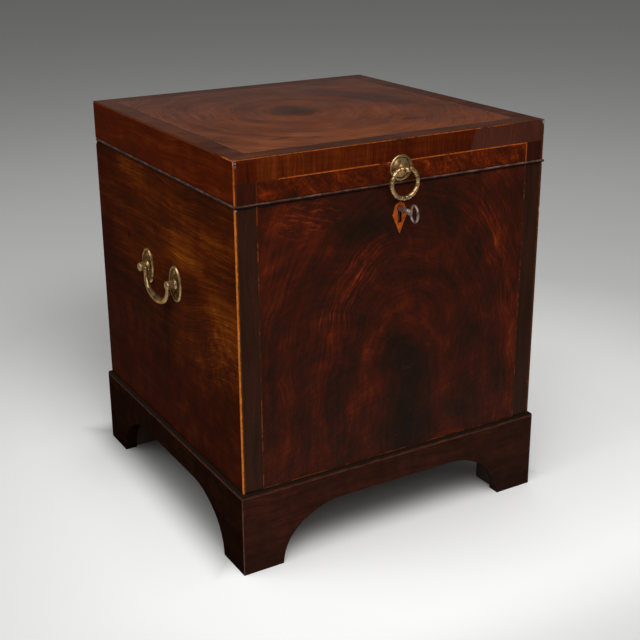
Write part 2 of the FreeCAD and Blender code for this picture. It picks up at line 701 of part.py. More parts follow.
def link_plate():
    """A plate under the lid's front rail with two staples that drop into the lock."""
    plate = box(both_ways("link_width / 2"), link_depth_span(), ("lid_base", "lid_base + link_thickness"))
    pieces, eyes = [plate], []
    for side in (-1, 1):
        across = (staple_x(side, "-staple_thickness / 2"), staple_x(side, "staple_thickness / 2"))
        pieces.append(box(across, ("lock_centre_y - staple_width / 2", "lock_centre_y + staple_width / 2"),
                          ("carcass_top - staple_height", "lid_base + link_thickness")))
        eyes.append(box(across, ("lock_centre_y - eye_width / 2", "lock_centre_y + eye_width / 2"),
                        ("eye_z - eye_height / 2", "eye_z + eye_height / 2")))
    return cut(fuse(*pieces), *eyes)


def build_key():
    """A steel key: a flat oval bow across the shaft, a collar, and a bit that hangs down."""
    tip = "cavity_back - lock_clearance * 2"
    bow_near = "front - key_reach + bow_length"
    shaft = rod("key_shaft", f"({tip}) - ({bow_near}) + bow_rim / 2", "0", f"{bow_near} - bow_rim / 2",
                "key_z", "+y")
    collar = rod("key_collar", "key_collar_length", "0", bow_near, "key_z", "+y")
    deep = ("lock_centre_y - bit_depth / 2", "lock_centre_y + bit_depth / 2")
    bit = box(both_ways("bit_thickness / 2"), deep, ("key_z - bit_length", "key_z"))
    centre = "front - key_reach + bow_length / 2"
    side = "-bow_thickness / 2"
    rim = [("bow_height / 2", "bow_length / 2", "0"), ("bow_height / 2", "bow_length / 2", "bow_thickness")]
    eye = [("bow_height / 2 - bow_rim", "bow_length / 2 - bow_rim", "-1"),
           ("bow_height / 2 - bow_rim", "bow_length / 2 - bow_rim", "bow_thickness + 1")]
    bow = cut(oval_loft(rim, side, centre, "key_z", "+x"), oval_loft(eye, side, centre, "key_z", "+x"))
    node("key", fuse(shaft, collar, bit, bow))


# ---------------------------------------------------------------- ring pull

def build_ring_pull():
    """A dished round plate, a post with a cross hole, its nut, and the ring that swings in it."""
    rim = "ring_plate - ring_rim_inner"
    plate = [("0", "0"), ("ring_plate", "0"), ("ring_plate", "ring_plate_edge"),
             ("ring_rim_inner", "ring_rim_height", f"({rim}) * 1.2"), ("ring_dish", "ring_dish_height"),
             ("0", "ring_dome_height", "ring_dome_curve")]
    shank_hole = rod("ring_shank", "ring_standoff", "0", "front", "ring_z", "-y")
    node("ring_backplate", cut(turning(plate, "0", "front", "ring_z", "-y"), shank_hole))
    eye_y = "front - ring_standoff"
    top = "ring_standoff + ring_post"
    reach = "lid_rail + ring_nut_thickness + 1"
    post = [("0", f"-({reach})"), ("ring_shank", f"-({reach})"), ("ring_shank", "ring_dome_height"),
            ("ring_collar", "ring_dome_height"), ("ring_post", "ring_dome_height + 1.2"),
            ("ring_post", top), ("0", top)]
    knob = ball("ring_ball", "0", f"front - ({top}) - ring_ball * 0.6", "ring_z")
    hole = rod("ring_eye", "4 * ring_post", "-2 * ring_post", eye_y, "ring_z", "+x")
    node("ring_post", cut(fuse(turning(post, "0", "front", "ring_z", "-y"), knob), hole))
    nut = rod("ring_nut_radius", "ring_nut_thickness", "0", "front + lid_rail", "ring_z", "+y")
    bore = rod("ring_shank", "ring_nut_thickness", "0", "front + lid_rail", "ring_z", "+y")
    node("ring_nut", cut(nut, bore))
    build_ring(eye_y)


def build_ring(eye_y):
    """A round ring whose top is a straight pin through the post's hole."""
    drop = "sqrt(ring_radius ^ 2 - ring_pin_half ^ 2)"
    gap = "asin(ring_pin_half / ring_radius)"
    hoop = add("Part::Torus", Radius1="ring_radius", Radius2="ring_wire", Angle3=f"360 deg - 2 * {gap}")
    place(hoop, "0", eye_y, f"ring_z - {drop}")
    start = value(gap)
    hoop.Placement.Rotation = Rotation(Vector(1, 0, 0), 90) * Rotation(Vector(0, 0, 1), 90 + start)
    pin = rod("ring_pin", "2 * ring_pin_half", "-ring_pin_half", eye_y, "ring_z", "+x")
    ends = [ball("ring_wire", f"{side} * ring_pin_half", eye_y, "ring_z") for side in (-1, 1)]
    node("pull_ring", fuse(hoop, pin, *ends))


# ---------------------------------------------------------------- carrying handles

def post_places(side):
    """The feet of the two posts on one side of the carcass."""
    return [(f"{side} * half_width", f"{end} * post_spacing / 2", "handle_z") for end in (-1, 1)]


def handle_post(side, y):
    """A turned post with a collar, a ball end and a cross hole for the bail's pin."""
    neck_base = "handle_seat + post_collar_height"
    outline = [("0", "-post_shank_length"), ("post_shank", "-post_shank_length"),
               ("post_shank", "handle_seat"), ("post_collar", "handle_seat"),
               ("post_neck", neck_base), ("post_neck", "post_ball_standoff"), ("0", "post_ball_standoff")]
    away = "-x" if side < 0 else "+x"
    stem = turning(outline, f"{side} * half_width", y, "handle_z", away)
    knob = ball("post_ball", f"{side} * (half_width + post_ball_standoff)", y, "handle_z")
    x = f"{side} * (half_width + handle_standoff)"
    hole = rod("post_eye", "4 * post_neck", x, f"({y}) - 2 * post_neck", "handle_z", "+y")
    return cut(fuse(stem, knob), hole)


def handle_plate_at(side, y, holes):
    """An oval plate under one post, with a bevelled edge and a raised rim round a dished field."""
    def rim(inset, height):
        return (f"handle_plate_height / 2 - ({inset})", f"handle_plate_width / 2 - ({inset})", height)
    away = "-x" if side < 0 else "+x"
    foot = (f"{side} * half_width", y, "handle_z", away)
    crest = "handle_plate_bevel + handle_rim"
    plate = oval_loft([rim("0", "0"), rim("0", "handle_plate_edge"),
                       rim("handle_plate_bevel", "handle_plate")], *foot)
    dish = oval_loft([rim(f"{crest} + handle_dish", "handle_seat"),
                      rim(f"{crest}", "handle_plate"), rim(f"{crest}", "handle_plate + handle_dish")], *foot)
    shank = rod("post_shank", "handle_plate", *foot)
    return cut(plate, dish, shank, holes)


def build_handles(screw_holes):
    """A pair of posts and plates on each side, and the bail that swings between them."""
    for side, name in ((-1, "left"), (1, "right")):
        ends = [f"{end} * post_spacing / 2" for end in (-1, 1)]
        plates = [handle_plate_at(side, y, screw_holes) for y in ends]
        node(f"{name}_handle_plates", group(*plates))
        node(f"{name}_handle_posts", group(*[handle_post(side, y) for y in ends]))
        node(f"{name}_handle_bail", bail(side))


def handle_screw_places():
    """Two screws in each oval plate, above and below its post."""
    places = []
    for side in (-1, 1):
        for end in (-1, 1):
            for up in (-1, 1):
                places.append((f"{side} * (half_width + handle_seat)", f"{end} * post_spacing / 2",
                               f"handle_z + {up} * handle_screw_spacing / 2", "+x" if side < 0 else "-x"))
    return places


def bail_stations():
    """Points, tangents and radii along a bail: a straight arm, a corner arc and the grip's long arc."""
    half, drop = value("bail_span") / 2, value("bail_drop")
    corner, curve = value("bail_corner"), value("bail_curve")
    thin, thick = value("bail_end"), value("bail_grip")
    top_z = curve - drop
    corner_y = half - corner
    corner_z = top_z - math.sqrt((curve - corner) ** 2 - corner_y ** 2)
    turn = math.atan2(corner_y, top_z - corner_z)
    stations = [(half, 0, 0, thin), (half, corner_z / 2, 0, thin)]
    for step in range(4):
        angle = math.pi / 2 + (turn - math.pi / 2) * step / 4
        swell = thin + (thick - thin) * step / 6
        stations.append((corner_y + corner * math.sin(angle), corner_z - corner * math.cos(angle),
                         math.pi / 2 - angle, swell))
    for step in range(3):
        angle = turn * (1 - step / 3)
        swell = thin + (thick - thin) * (4 + 2 * step / 3) / 6
        stations.append((curve * math.sin(angle), top_z - curve * math.cos(angle),
                         math.pi / 2 - angle, swell))
    mirrored = [(-y, z, math.pi - lean, radius) for y, z, lean, radius in reversed(stations)]
    return stations + [(0, -drop, math.pi / 2, thick)] + mirrored


def bail(side):
    """A cast bail, swelling to its grip, with a pin at each end that turns in its post."""
    loops = []
    for y, z, lean, radius in bail_stations():
        along = Vector(0, -math.sin(lean), -math.cos(lean))
        loops.append(Part.Wire([Part.makeCircle(radius, Vector(0, y, z), along)]))
    grip = Part.makeLoft(loops, True)
    half, reach = value("bail_span") / 2, value("post_spacing / 2 + bail_pin_end")
    pieces = [grip]
    for end in (-1, 1):
        start = Vector(0, end * half, 0)
        pieces.append(Part.makeSphere(value("bail_end"), start))
        pieces.append(Part.makeCylinder(value("bail_pin"), reach - half, start, Vector(0, end, 0)))
    made = doc.addObject("Part::Feature", "Bail")
    made.Shape = pieces[0].fuse(pieces[1:])
    return place(made, f"{side} * (half_width + handle_standoff)", "0", "handle_z")


# ---------------------------------------------------------------- assembly

def build():
    """Make every sub-part."""
    fill_sheet()
    lock_screws = [(f"{side} * lock_screw_spacing / 2", "lock_centre_y", "carcass_top", "-z")
                   for side in (-1, 1)]
    link_screws = [(f"{side} * link_screw_spacing / 2", "lock_centre_y", "lid_base", "+z")
                   for side in (-1, 1)]
    carcass_screws, carcass_holes = screw_set(hinge_screws("carcass_top", "-z") + lock_screws)
    lid_screws, lid_holes = screw_set(hinge_screws("lid_base", "+z") + link_screws)
    handle_screws, handle_holes = screw_set(handle_screw_places())
    node("carcass_screws", carcass_screws)
    node("lid_screws", lid_screws)
    node("handle_screws", handle_screws)
    shanks = [rod("post_shank", "post_shank_length", x, y, z, "+x" if x.startswith("-") else "-x")
              for side in (-1, 1) for x, y, z in post_places(side)]
    build_plinth()
    build_carcass(carcass_holes, fuse(*shanks, handle_holes))
    build_dividers()
    build_lid(lid_holes)
    build_hinges(carcass_holes, lid_holes)
    build_lock(carcass_holes, lid_holes)
    build_key()
    build_ring_pull()
    build_handles(handle_holes)
    doc.recompute()


def check():
    """Stop if any object failed, or any sub-part is empty or broken."""
    for made in doc.Objects:
        if "Invalid" in made.State or "Error" in made.State:
            raise RuntimeError(f"{made.Name} ({made.Label}) failed: {made.State}")
    for made in nodes:
        if made.Shape.isNull() or not made.Shape.isValid() or not made.Shape.Solids:
            raise RuntimeError(f"{made.Label} has no sound shape")


def export():
    """Write one STEP file for each sub-part."""
    os.makedirs("parts", exist_ok=True)
    for made in nodes:
        made.Shape.exportStep(f"parts/{made.Label}.step")
    print(len(nodes), "sub-parts")


build()
check()
export()
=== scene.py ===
import math
from functools import reduce

import bmesh
import bpy
from mathutils import Matrix, Vector


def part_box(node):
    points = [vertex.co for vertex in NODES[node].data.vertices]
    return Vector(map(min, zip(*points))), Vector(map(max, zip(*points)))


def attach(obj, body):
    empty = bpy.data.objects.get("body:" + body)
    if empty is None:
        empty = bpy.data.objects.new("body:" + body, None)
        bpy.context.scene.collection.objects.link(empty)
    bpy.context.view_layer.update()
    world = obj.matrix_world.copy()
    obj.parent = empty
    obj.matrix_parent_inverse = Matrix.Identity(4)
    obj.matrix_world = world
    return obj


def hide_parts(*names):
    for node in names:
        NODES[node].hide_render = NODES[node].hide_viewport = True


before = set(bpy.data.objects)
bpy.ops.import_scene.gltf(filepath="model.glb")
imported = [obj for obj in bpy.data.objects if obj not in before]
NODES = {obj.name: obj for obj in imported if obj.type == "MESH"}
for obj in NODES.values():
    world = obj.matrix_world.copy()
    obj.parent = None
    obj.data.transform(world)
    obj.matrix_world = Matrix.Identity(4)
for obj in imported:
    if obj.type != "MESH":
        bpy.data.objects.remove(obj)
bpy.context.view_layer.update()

MM = 0.001


# -------------------------------- places taken from the frame

CASE_LOW, CASE_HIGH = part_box("left_side_board")[0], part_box("right_side_board")[1]
FRONT_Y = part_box("front_panel_veneer")[0].y
CENTRE_Y = (FRONT_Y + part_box("back_board")[1].y) / 2
LID_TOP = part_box("lid_top_veneer")[1].z
PLINTH_LOW, PLINTH_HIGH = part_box("plinth_left")[0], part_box("plinth_right")[1]
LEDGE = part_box("plinth_moulding")[1].z
CASE_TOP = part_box("left_side_board")[1].z
BEAD_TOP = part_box("lid_bead")[1].z
SIDE_START = CASE_LOW.y / MM + 4


# -------------------------------- node graphs

class Nodes:
    """The node tree of a material or world.  Its methods take numbers or sockets and return sockets."""

    def __init__(self, owner):
        owner.use_nodes = True
        self.tree = owner.node_tree
        self.tree.nodes.clear()

    def add(self, kind, output=0, settings=None, **inputs):
        """Add a node, set its properties and inputs, and return one output."""
        made = self.tree.nodes.new(kind)
        for key, what in (settings or {}).items():
            setattr(made, key, what)
        for key, what in inputs.items():
            index = int(key[1:]) if key[0] == "i" and key[1:].isdigit() else key.replace("_", " ")
            self.feed(made.inputs[index], what)
        return made.outputs[output]

    def feed(self, socket, what):
        """Link a socket to an input, or set its value."""
        if isinstance(what, bpy.types.NodeSocket):
            self.tree.links.new(what, socket)
        else:
            socket.default_value = what

    def math(self, operation, *terms):
        """One math node."""
        inputs = {f"i{index}": term for index, term in enumerate(terms)}
        return self.add("ShaderNodeMath", settings={"operation": operation}, **inputs)

    def fold(self, operation, terms):
        """Any number of terms joined by one operation, from the left."""
        return reduce(lambda first, second: self.math(operation, first, second), terms)

    def total(self, *terms):
        return self.fold("ADD", terms)

    def times(self, *terms):
        return self.fold("MULTIPLY", terms)

    def larger(self, *terms):
        return self.fold("MAXIMUM", terms)

    def smaller(self, *terms):
        return self.fold("MINIMUM", terms)

    def minus(self, first, second):
        return self.math("SUBTRACT", first, second)

    def absolute(self, value):
        return self.math("ABSOLUTE", value)


class Graph(Nodes):
    """One material's nodes.  Lengths are in millimetres, and y is 0 at the middle of the case."""

    def __init__(self, name):
        self.material = bpy.data.materials.new(name)
        super().__init__(self.material)
        in_mm = self.vector("SCALE", self.add("ShaderNodeTexCoord", output="Object"), Scale=1 / MM)
        self.place = self.vector("SUBTRACT", in_mm, (0, CENTRE_Y / MM, 0))
        self.x, self.y, self.z = self.split(self.place)

    def vector(self, operation, *terms, **named):
        """One vector math node."""
        inputs = {f"i{index}": term for index, term in enumerate(terms)}
        return self.add("ShaderNodeVectorMath", settings={"operation": operation}, **inputs, **named)

    def split(self, vector):
        """A vector's three parts."""
        made = self.tree.nodes.new("ShaderNodeSeparateXYZ")
        self.feed(made.inputs[0], vector)
        return made.outputs

    def join(self, x, y, z):
        """A vector from three parts."""
        return self.add("ShaderNodeCombineXYZ", i0=x, i1=y, i2=z)

    def noise(self, vector, scale=1.0, detail=3.0, roughness=0.55):
        """Noise from 0 to 1, with cells of about 1 / scale."""
        return self.add("ShaderNodeTexNoise", Vector=vector, Scale=scale, Detail=detail, Roughness=roughness)

    def streaks(self, along, across, long, wide, seed, detail=4.0, roughness=0.6):
        """Noise drawn out along the grain: one cell is about long by wide."""
        return self.noise(self.join(self.times(along, 1 / long), self.times(across, 1 / wide), seed),
                          detail=detail, roughness=roughness)

    def ease(self, value, low, high, start=0.0, end=1.0):
        """A smooth step from start to end as value goes from low to high."""
        return self.add("ShaderNodeMapRange", settings={"interpolation_type": "SMOOTHSTEP"},
                        i0=value, i1=low, i2=high, i3=start, i4=end)

    def span(self, value, low, high, start=0.0, end=1.0):
        """A straight map of value from low..high onto start..end."""
        return self.add("ShaderNodeMapRange", i0=value, i1=low, i2=high, i3=start, i4=end)

    def hump(self, value, centre, half):
        """One at a centre, falling smoothly to zero at half a width to each side."""
        away = self.absolute(self.minus(value, centre))
        return self.ease(away, 0.0, half, 1.0, 0.0)

    def ramp(self, value, stops, interpolation="LINEAR"):
        """Colours along a value: (position, (r, g, b)) pairs."""
        made = self.tree.nodes.new("ShaderNodeValToRGB")
        made.color_ramp.interpolation = interpolation
        self.feed(made.inputs[0], value)
        elements = made.color_ramp.elements
        while len(elements) < len(stops):
            elements.new(0.5)
        for element, (position, colour) in zip(elements, stops):
            element.position = position
            element.color = (*colour, 1)
        return made.outputs[0]

    def mix(self, amount, first, second):
        """Mix two colours."""
        made = self.tree.nodes.new("ShaderNodeMix")
        made.data_type = "RGBA"
        self.feed(made.inputs[0], amount)
        for socket, what in ((made.inputs[6], first), (made.inputs[7], second)):
            self.feed(socket, (*what, 1) if isinstance(what, tuple) else what)
        return made.outputs[2]

    def polar(self, u, v):
        """Distance from zero and angle from the v axis."""
        distance = self.math("SQRT", self.total(self.times(u, u), self.times(v, v)))
        return distance, self.math("ARCTAN2", u, v)

    def wander(self, reach, size, detail=2.0, seed=0.0):
        """Smooth noise from about -reach to reach, with features of one size."""
        moved = self.vector("ADD", self.place, (seed, seed, seed))
        return self.span(self.noise(moved, 1 / size, detail, 0.5), 0.25, 0.75, -reach, reach)

    def patch(self, u, v, centre, half):
        """One at a point, falling smoothly to zero over an oval."""
        du = self.times(self.minus(u, centre[0]), 1 / half[0])
        dv = self.times(self.minus(v, centre[1]), 1 / half[1])
        return self.ease(self.polar(du, dv)[0], 0.0, 1.0, 1.0, 0.0)

    def marks(self, u, v, places):
        """Lighter and darker ovals, one term for each (centre, half widths, level)."""
        return [self.times(self.patch(u, v, centre, half), level) for centre, half, level in places]

    def profile(self, value, high, points):
        """A smooth curve over value from 0 to high, through (value, level) points within -0.5 to 0.5."""
        stops = [(place / high, [level + 0.5] * 3) for place, level in points]
        return self.minus(self.ramp(self.times(value, 1 / high), stops, "B_SPLINE"), 0.5)

    def swing(self, value, share):
        """Noise about its middle, weighted."""
        return self.times(self.minus(value, 0.5), share)

    def finish(self, colour, roughness, bump=None, depth=0.1, **shader):
        """Close the material with a Principled shader."""
        made = self.tree.nodes.new("ShaderNodeBsdfPrincipled")
        self.feed(made.inputs["Base Color"], (*colour, 1) if isinstance(colour, tuple) else colour)
        self.feed(made.inputs["Roughness"], roughness)
        for key, what in shader.items():
            self.feed(made.inputs[key.replace("_", " ")], what)
        if bump is not None:
            normal = self.add("ShaderNodeBump", Height=bump, Distance=depth * MM, Strength=1.0)
            self.feed(made.inputs["Normal"], normal)
        output = self.tree.nodes.new("ShaderNodeOutputMaterial")
        self.tree.links.new(made.outputs[0], output.inputs[0])
        return self.material


# -------------------------------- wood

def pores(graph, along, across, seed):
    """Short dark vessel lines along the grain, as a mask."""
    fine = graph.streaks(along, across, 8, 0.42, seed, detail=2, roughness=0.5)
    patch = graph.streaks(along, across, 90, 30, seed + 7)
    return graph.times(graph.ease(fine, 0.57, 0.72), graph.ease(patch, 0.35, 0.65, 0.3, 1.0))


def nicks(graph):
    """Sparse pale chips and pin dents, as a mask."""
    share = 0.05
    cells = graph.tree.nodes.new("ShaderNodeTexVoronoi")
    bend = graph.join(graph.wander(1.2, 3), graph.wander(1.2, 3, seed=40), 0.0)
    bent = graph.vector("ADD", graph.place, bend)
    graph.feed(cells.inputs["Vector"], graph.vector("SCALE", bent, Scale=1 / 26))
    graph.feed(cells.inputs["Scale"], 1.0)
    near = graph.ease(cells.outputs["Distance"], 0.012, 0.036, 1.0, 0.0)
    red = graph.split(cells.outputs["Color"])[0]
    return graph.times(near, graph.ease(red, 1 - share, 1 - share + 0.02))


def scratches(graph, along, across):
    """Hairline rubbing across and along a polished face, as a mask."""
    tilt = graph.total(along, graph.times(across, 0.55))
    lean = graph.total(across, graph.times(along, -0.4))
    first = graph.streaks(tilt, lean, 26, 0.3, 81, detail=1)
    second = graph.streaks(lean, tilt, 34, 0.3, 83, detail=1)
    seen = graph.noise(graph.place, 1 / 48, 2)
    lines = graph.larger(graph.ease(first, 0.68, 0.78), graph.ease(second, 0.7, 0.8))
    return graph.times(lines, graph.ease(seen, 0.42, 0.68))


def joint_grime(graph):
    """Painted shade with old grime along the joint under the lid, over its bead and over the plinth, as a
    mask.
    """
    height = graph.total(graph.z, graph.wander(0.8, 9, 3, 55))
    return graph.larger(graph.hump(height, CASE_TOP / MM - 0.3, 2.6),
                        graph.hump(height, LEDGE / MM + 0.3, 2.6),
                        graph.hump(height, BEAD_TOP / MM + 0.2, 1.6))


def polish(graph, colour, seed, along, across, wear=None, gloss=0.3, level=0.04, rub=0.14):
    """French polish over coloured wood: pores, dents, fine unevenness and optional worn places.

    rub is how far its scratches show, gloss its lowest roughness and level its reflection.
    """
    vessels = pores(graph, along, across, seed)
    # Painted shade with grime along the joints.
    colour = graph.mix(graph.times(joint_grime(graph), 0.8), colour, (0.008, 0.0045, 0.003))
    colour = graph.mix(graph.times(vessels, 0.5), colour, (0.006, 0.003, 0.002))
    rubbed = scratches(graph, along, across)
    colour = graph.mix(graph.times(rubbed, rub), colour, (0.3, 0.14, 0.07))
    colour = graph.mix(graph.times(nicks(graph), 0.8), colour, (0.26, 0.19, 0.15))
    rough = graph.span(graph.noise(graph.place, 1 / 35, 4), 0.3, 0.7, gloss - 0.05, gloss + 0.1)
    rough = graph.total(rough, graph.times(rubbed, 0.12))
    # Worn places are lighter; on the plinth they also stand as a painted highlight on the arrises.
    if wear is not None:
        colour = graph.mix(wear, colour, (0.13, 0.062, 0.05))
        rough = graph.total(rough, graph.times(wear, 0.25))
    swell = graph.noise(graph.place, 1 / 55, 2)
    height = graph.total(graph.times(vessels, -0.5), graph.times(swell, 0.9), graph.times(rubbed, -0.1),
                         graph.times(graph.streaks(along, across, 60, 2.2, seed + 3), 0.25))
    return graph.finish(colour, rough, height, 0.06, Specular_IOR_Level=level)


def flame_front():
    """Crotch mahogany: arches round a dark core, with feathers rising to each side."""
    core_x, core_z = 16, 240
    graph = Graph("mahogany_flame_front")
    u = graph.total(graph.x, -core_x, graph.wander(9, 95), graph.wander(1.5, 24, seed=9))
    up = graph.total(graph.z, -core_z, graph.wander(9, 80, seed=21), graph.wander(1.5, 24, seed=33))
    above = graph.times(graph.larger(up, 0.0), 0.7)
    below = graph.smaller(up, 0.0)
    radius, angle = graph.polar(u, above)
    leg = graph.times(graph.math("SIGN", u), graph.times(below, -1))
    along = graph.total(graph.times(angle, 95), leg)
    tilt_along = graph.total(along, graph.times(radius, 0.45))
    tilt_out = graph.total(radius, graph.times(along, -0.3))
    hair = graph.streaks(along, radius, 15, 0.9, 1, 3)
    fine = graph.streaks(along, radius, 27, 2.4, 4, 4)
    woven = graph.streaks(tilt_along, tilt_out, 16, 1.6, 6, 3)
    broad = graph.streaks(along, radius, 110, 9, 2, 3)
    feather = graph.streaks(tilt_out, tilt_along, 38, 4, 3)
    cloud = graph.noise(graph.place, 1 / 60, 4, 0.6)
    blot = graph.noise(graph.place, 1 / 22, 4, 0.6)
    rings = graph.profile(radius, 260, [(0, -0.26), (24, -0.22), (44, -0.08), (66, 0.09), (84, 0.03),
                                        (102, -0.09), (118, -0.02), (132, 0.05), (150, -0.01), (166, -0.04),
                                        (188, 0.04), (212, 0.0), (236, 0.03), (260, 0.0)])
    arcs = graph.times(graph.hump(radius, 130, 36), graph.hump(angle, -0.75, 0.85))
    right = graph.times(graph.hump(radius, 188, 46), graph.ease(angle, 0.3, 0.7),
                        graph.ease(graph.z, 110, 260, 0.2, 1.0))
    lit = graph.total(graph.times(arcs, 0.13), graph.times(right, 0.15),
                      graph.times(graph.hump(radius, 68, 22), graph.hump(angle, -1.0, 0.95), 0.07),
                      graph.times(graph.hump(radius, 58, 15), graph.hump(angle, 0.5, 0.34), 0.13))
    places = [((-165, 478), (64, 32), 0.16), ((-192, 405), (34, 84), 0.13), ((-120, 272), (30, 12), 0.16),
              ((-60, 462), (84, 52), -0.2), ((60, 462), (60, 62), -0.12), ((-155, 225), (14, 140), -0.1),
              ((-98, 190), (20, 90), -0.1), ((180, 128), (70, 26), 0.02), ((140, 178), (80, 66), -0.15),
              ((40, 119), (240, 9), 0.12), ((16, 170), (34, 90), -0.1), ((-178, 210), (13, 150), 0.09),
              ((120, 489), (20, 12), -0.12)]
    flecked = graph.patch(graph.x, graph.z, (-142, 474), (70, 34))
    lively = graph.total(0.85, graph.times(arcs, 2.5), graph.times(right, 1.1),
                         graph.times(graph.ease(radius, 60, 10), -0.4))
    strands = graph.total(graph.swing(hair, 0.34), graph.swing(fine, 0.5), graph.swing(woven, 0.22))
    shade = graph.total(0.44, rings, lit, *graph.marks(graph.x, graph.z, places),
                        graph.times(strands, lively), graph.swing(broad, 0.55), graph.swing(feather, 0.45),
                        graph.swing(cloud, 0.8), graph.swing(blot, 0.35))
    colour = graph.ramp(shade, [(0.0, (0.0105, 0.006, 0.0038)), (0.25, (0.0195, 0.007, 0.0038)),
                                (0.5, (0.042, 0.0083, 0.0038)), (0.7, (0.082, 0.0115, 0.0038)),
                                (0.86, (0.15, 0.0215, 0.005)), (1.0, (0.28, 0.048, 0.01))])
    level_out = graph.total(graph.x, graph.times(graph.z, 0.3))
    level_up = graph.total(graph.z, graph.times(graph.x, 0.2), graph.wander(3, 22, seed=44))
    dashes = graph.ease(graph.streaks(level_out, level_up, 22, 3.8, 87, 3), 0.5, 0.66)
    colour = graph.mix(graph.times(dashes, flecked, 0.8), colour, (0.22, 0.033, 0.0075))
    slant = graph.total(graph.x, graph.times(graph.z, 0.4))
    scuff = graph.times(graph.patch(graph.x, graph.z, (16, 242), (18, 7)),
                        graph.ease(graph.streaks(slant, graph.z, 14, 1.2, 91, 2), 0.55, 0.66))
    colour = graph.mix(graph.times(scuff, 0.4), colour, (0.16, 0.12, 0.1))
    return polish(graph, colour, 11, along, radius, level=0.024)


def dull_polish(graph, colour):
    """The lid's top: a pale painted sheen mixed in, none at the front and growing towards the back."""
    # Painted sheen: a pale grey-brown mixed in towards the back.
    return graph.mix(graph.ease(graph.y, -110, 240, 0.0, 0.46), colour, (0.079, 0.0365, 0.0283))


def swirl_top():
    """The lid's field: rings round a small dark knot, a dark streak to the right, a warm front edge."""
    knot_x, knot_y = -22, 22 - CENTRE_Y / MM
    graph = Graph("mahogany_swirl_top")
    u = graph.total(graph.x, -knot_x, graph.wander(8, 90), graph.wander(2.2, 20, seed=9))
    v = graph.total(graph.y, -knot_y, graph.wander(8, 80, seed=21))
    radius, angle = graph.polar(u, graph.times(v, 0.9))
    along = graph.times(angle, 110)
    fine = graph.streaks(along, radius, 62, 2.6, 21)
    hair = graph.streaks(along, radius, 40, 1.2, 24, 3)
    broad = graph.streaks(along, radius, 170, 13, 22, 3)
    cloud = graph.noise(graph.place, 1 / 95, 3)
    rings = graph.profile(radius, 260, [(0, -0.5), (22, -0.42), (38, -0.06), (50, 0.05), (66, -0.05),
                                        (80, -0.06), (96, 0.02), (120, 0.06), (140, -0.05), (156, 0.07),
                                        (172, -0.09), (186, 0.12), (204, -0.04), (230, 0.04), (260, 0.0)])
    left = graph.ease(graph.x, 0, -90)
    clear = graph.larger(graph.ease(radius, 60, 40), graph.span(left, 0.0, 1.0, 0.3, 1.5))
    lean = graph.total(graph.x, graph.times(graph.y, 0.36), graph.wander(6, 40, seed=71), -146)
    streak = graph.times(graph.hump(lean, 0, 42), graph.hump(graph.y, 40, 170), -0.42)
    places = [((137, 190), (42, 36), -0.34), ((-100, 20), (60, 60), 0.1), ((-20, -80), (170, 60), 0.08),
              ((-100, -140), (110, 40), 0.12), ((-130, -155), (24, 9), -0.36), ((-88, -170), (16, 11), -0.36),
              ((-172, -160), (14, 20), -0.2), ((88, -132), (30, 9), -0.34), ((150, -165), (40, 14), -0.16),
              ((-150, 110), (26, 60), -0.2), ((30, 0), (50, 110), 0.08), ((-120, 130), (120, 100), -0.1)]
    warm = graph.ease(graph.y, -110, -200, 0.0, 0.2)
    strands = graph.total(graph.swing(fine, 0.8), graph.swing(hair, 0.7), graph.swing(broad, 0.6))
    shade = graph.total(0.48, graph.times(rings, clear), streak, warm, *graph.marks(graph.x, graph.y, places),
                        graph.swing(cloud, 0.7), graph.times(strands, graph.span(left, 0.0, 1.0, 0.75, 1.3)))
    colour = graph.ramp(shade, [(0.0, (0.031, 0.0122, 0.0066)), (0.3, (0.062, 0.0176, 0.0068)),
                                (0.55, (0.112, 0.0272, 0.0078)), (0.8, (0.17, 0.0425, 0.0098)),
                                (1.0, (0.25, 0.078, 0.016))])
    # Painted sheen towards the back over the field.
    return polish(graph, dull_polish(graph, colour), 23, along, radius)


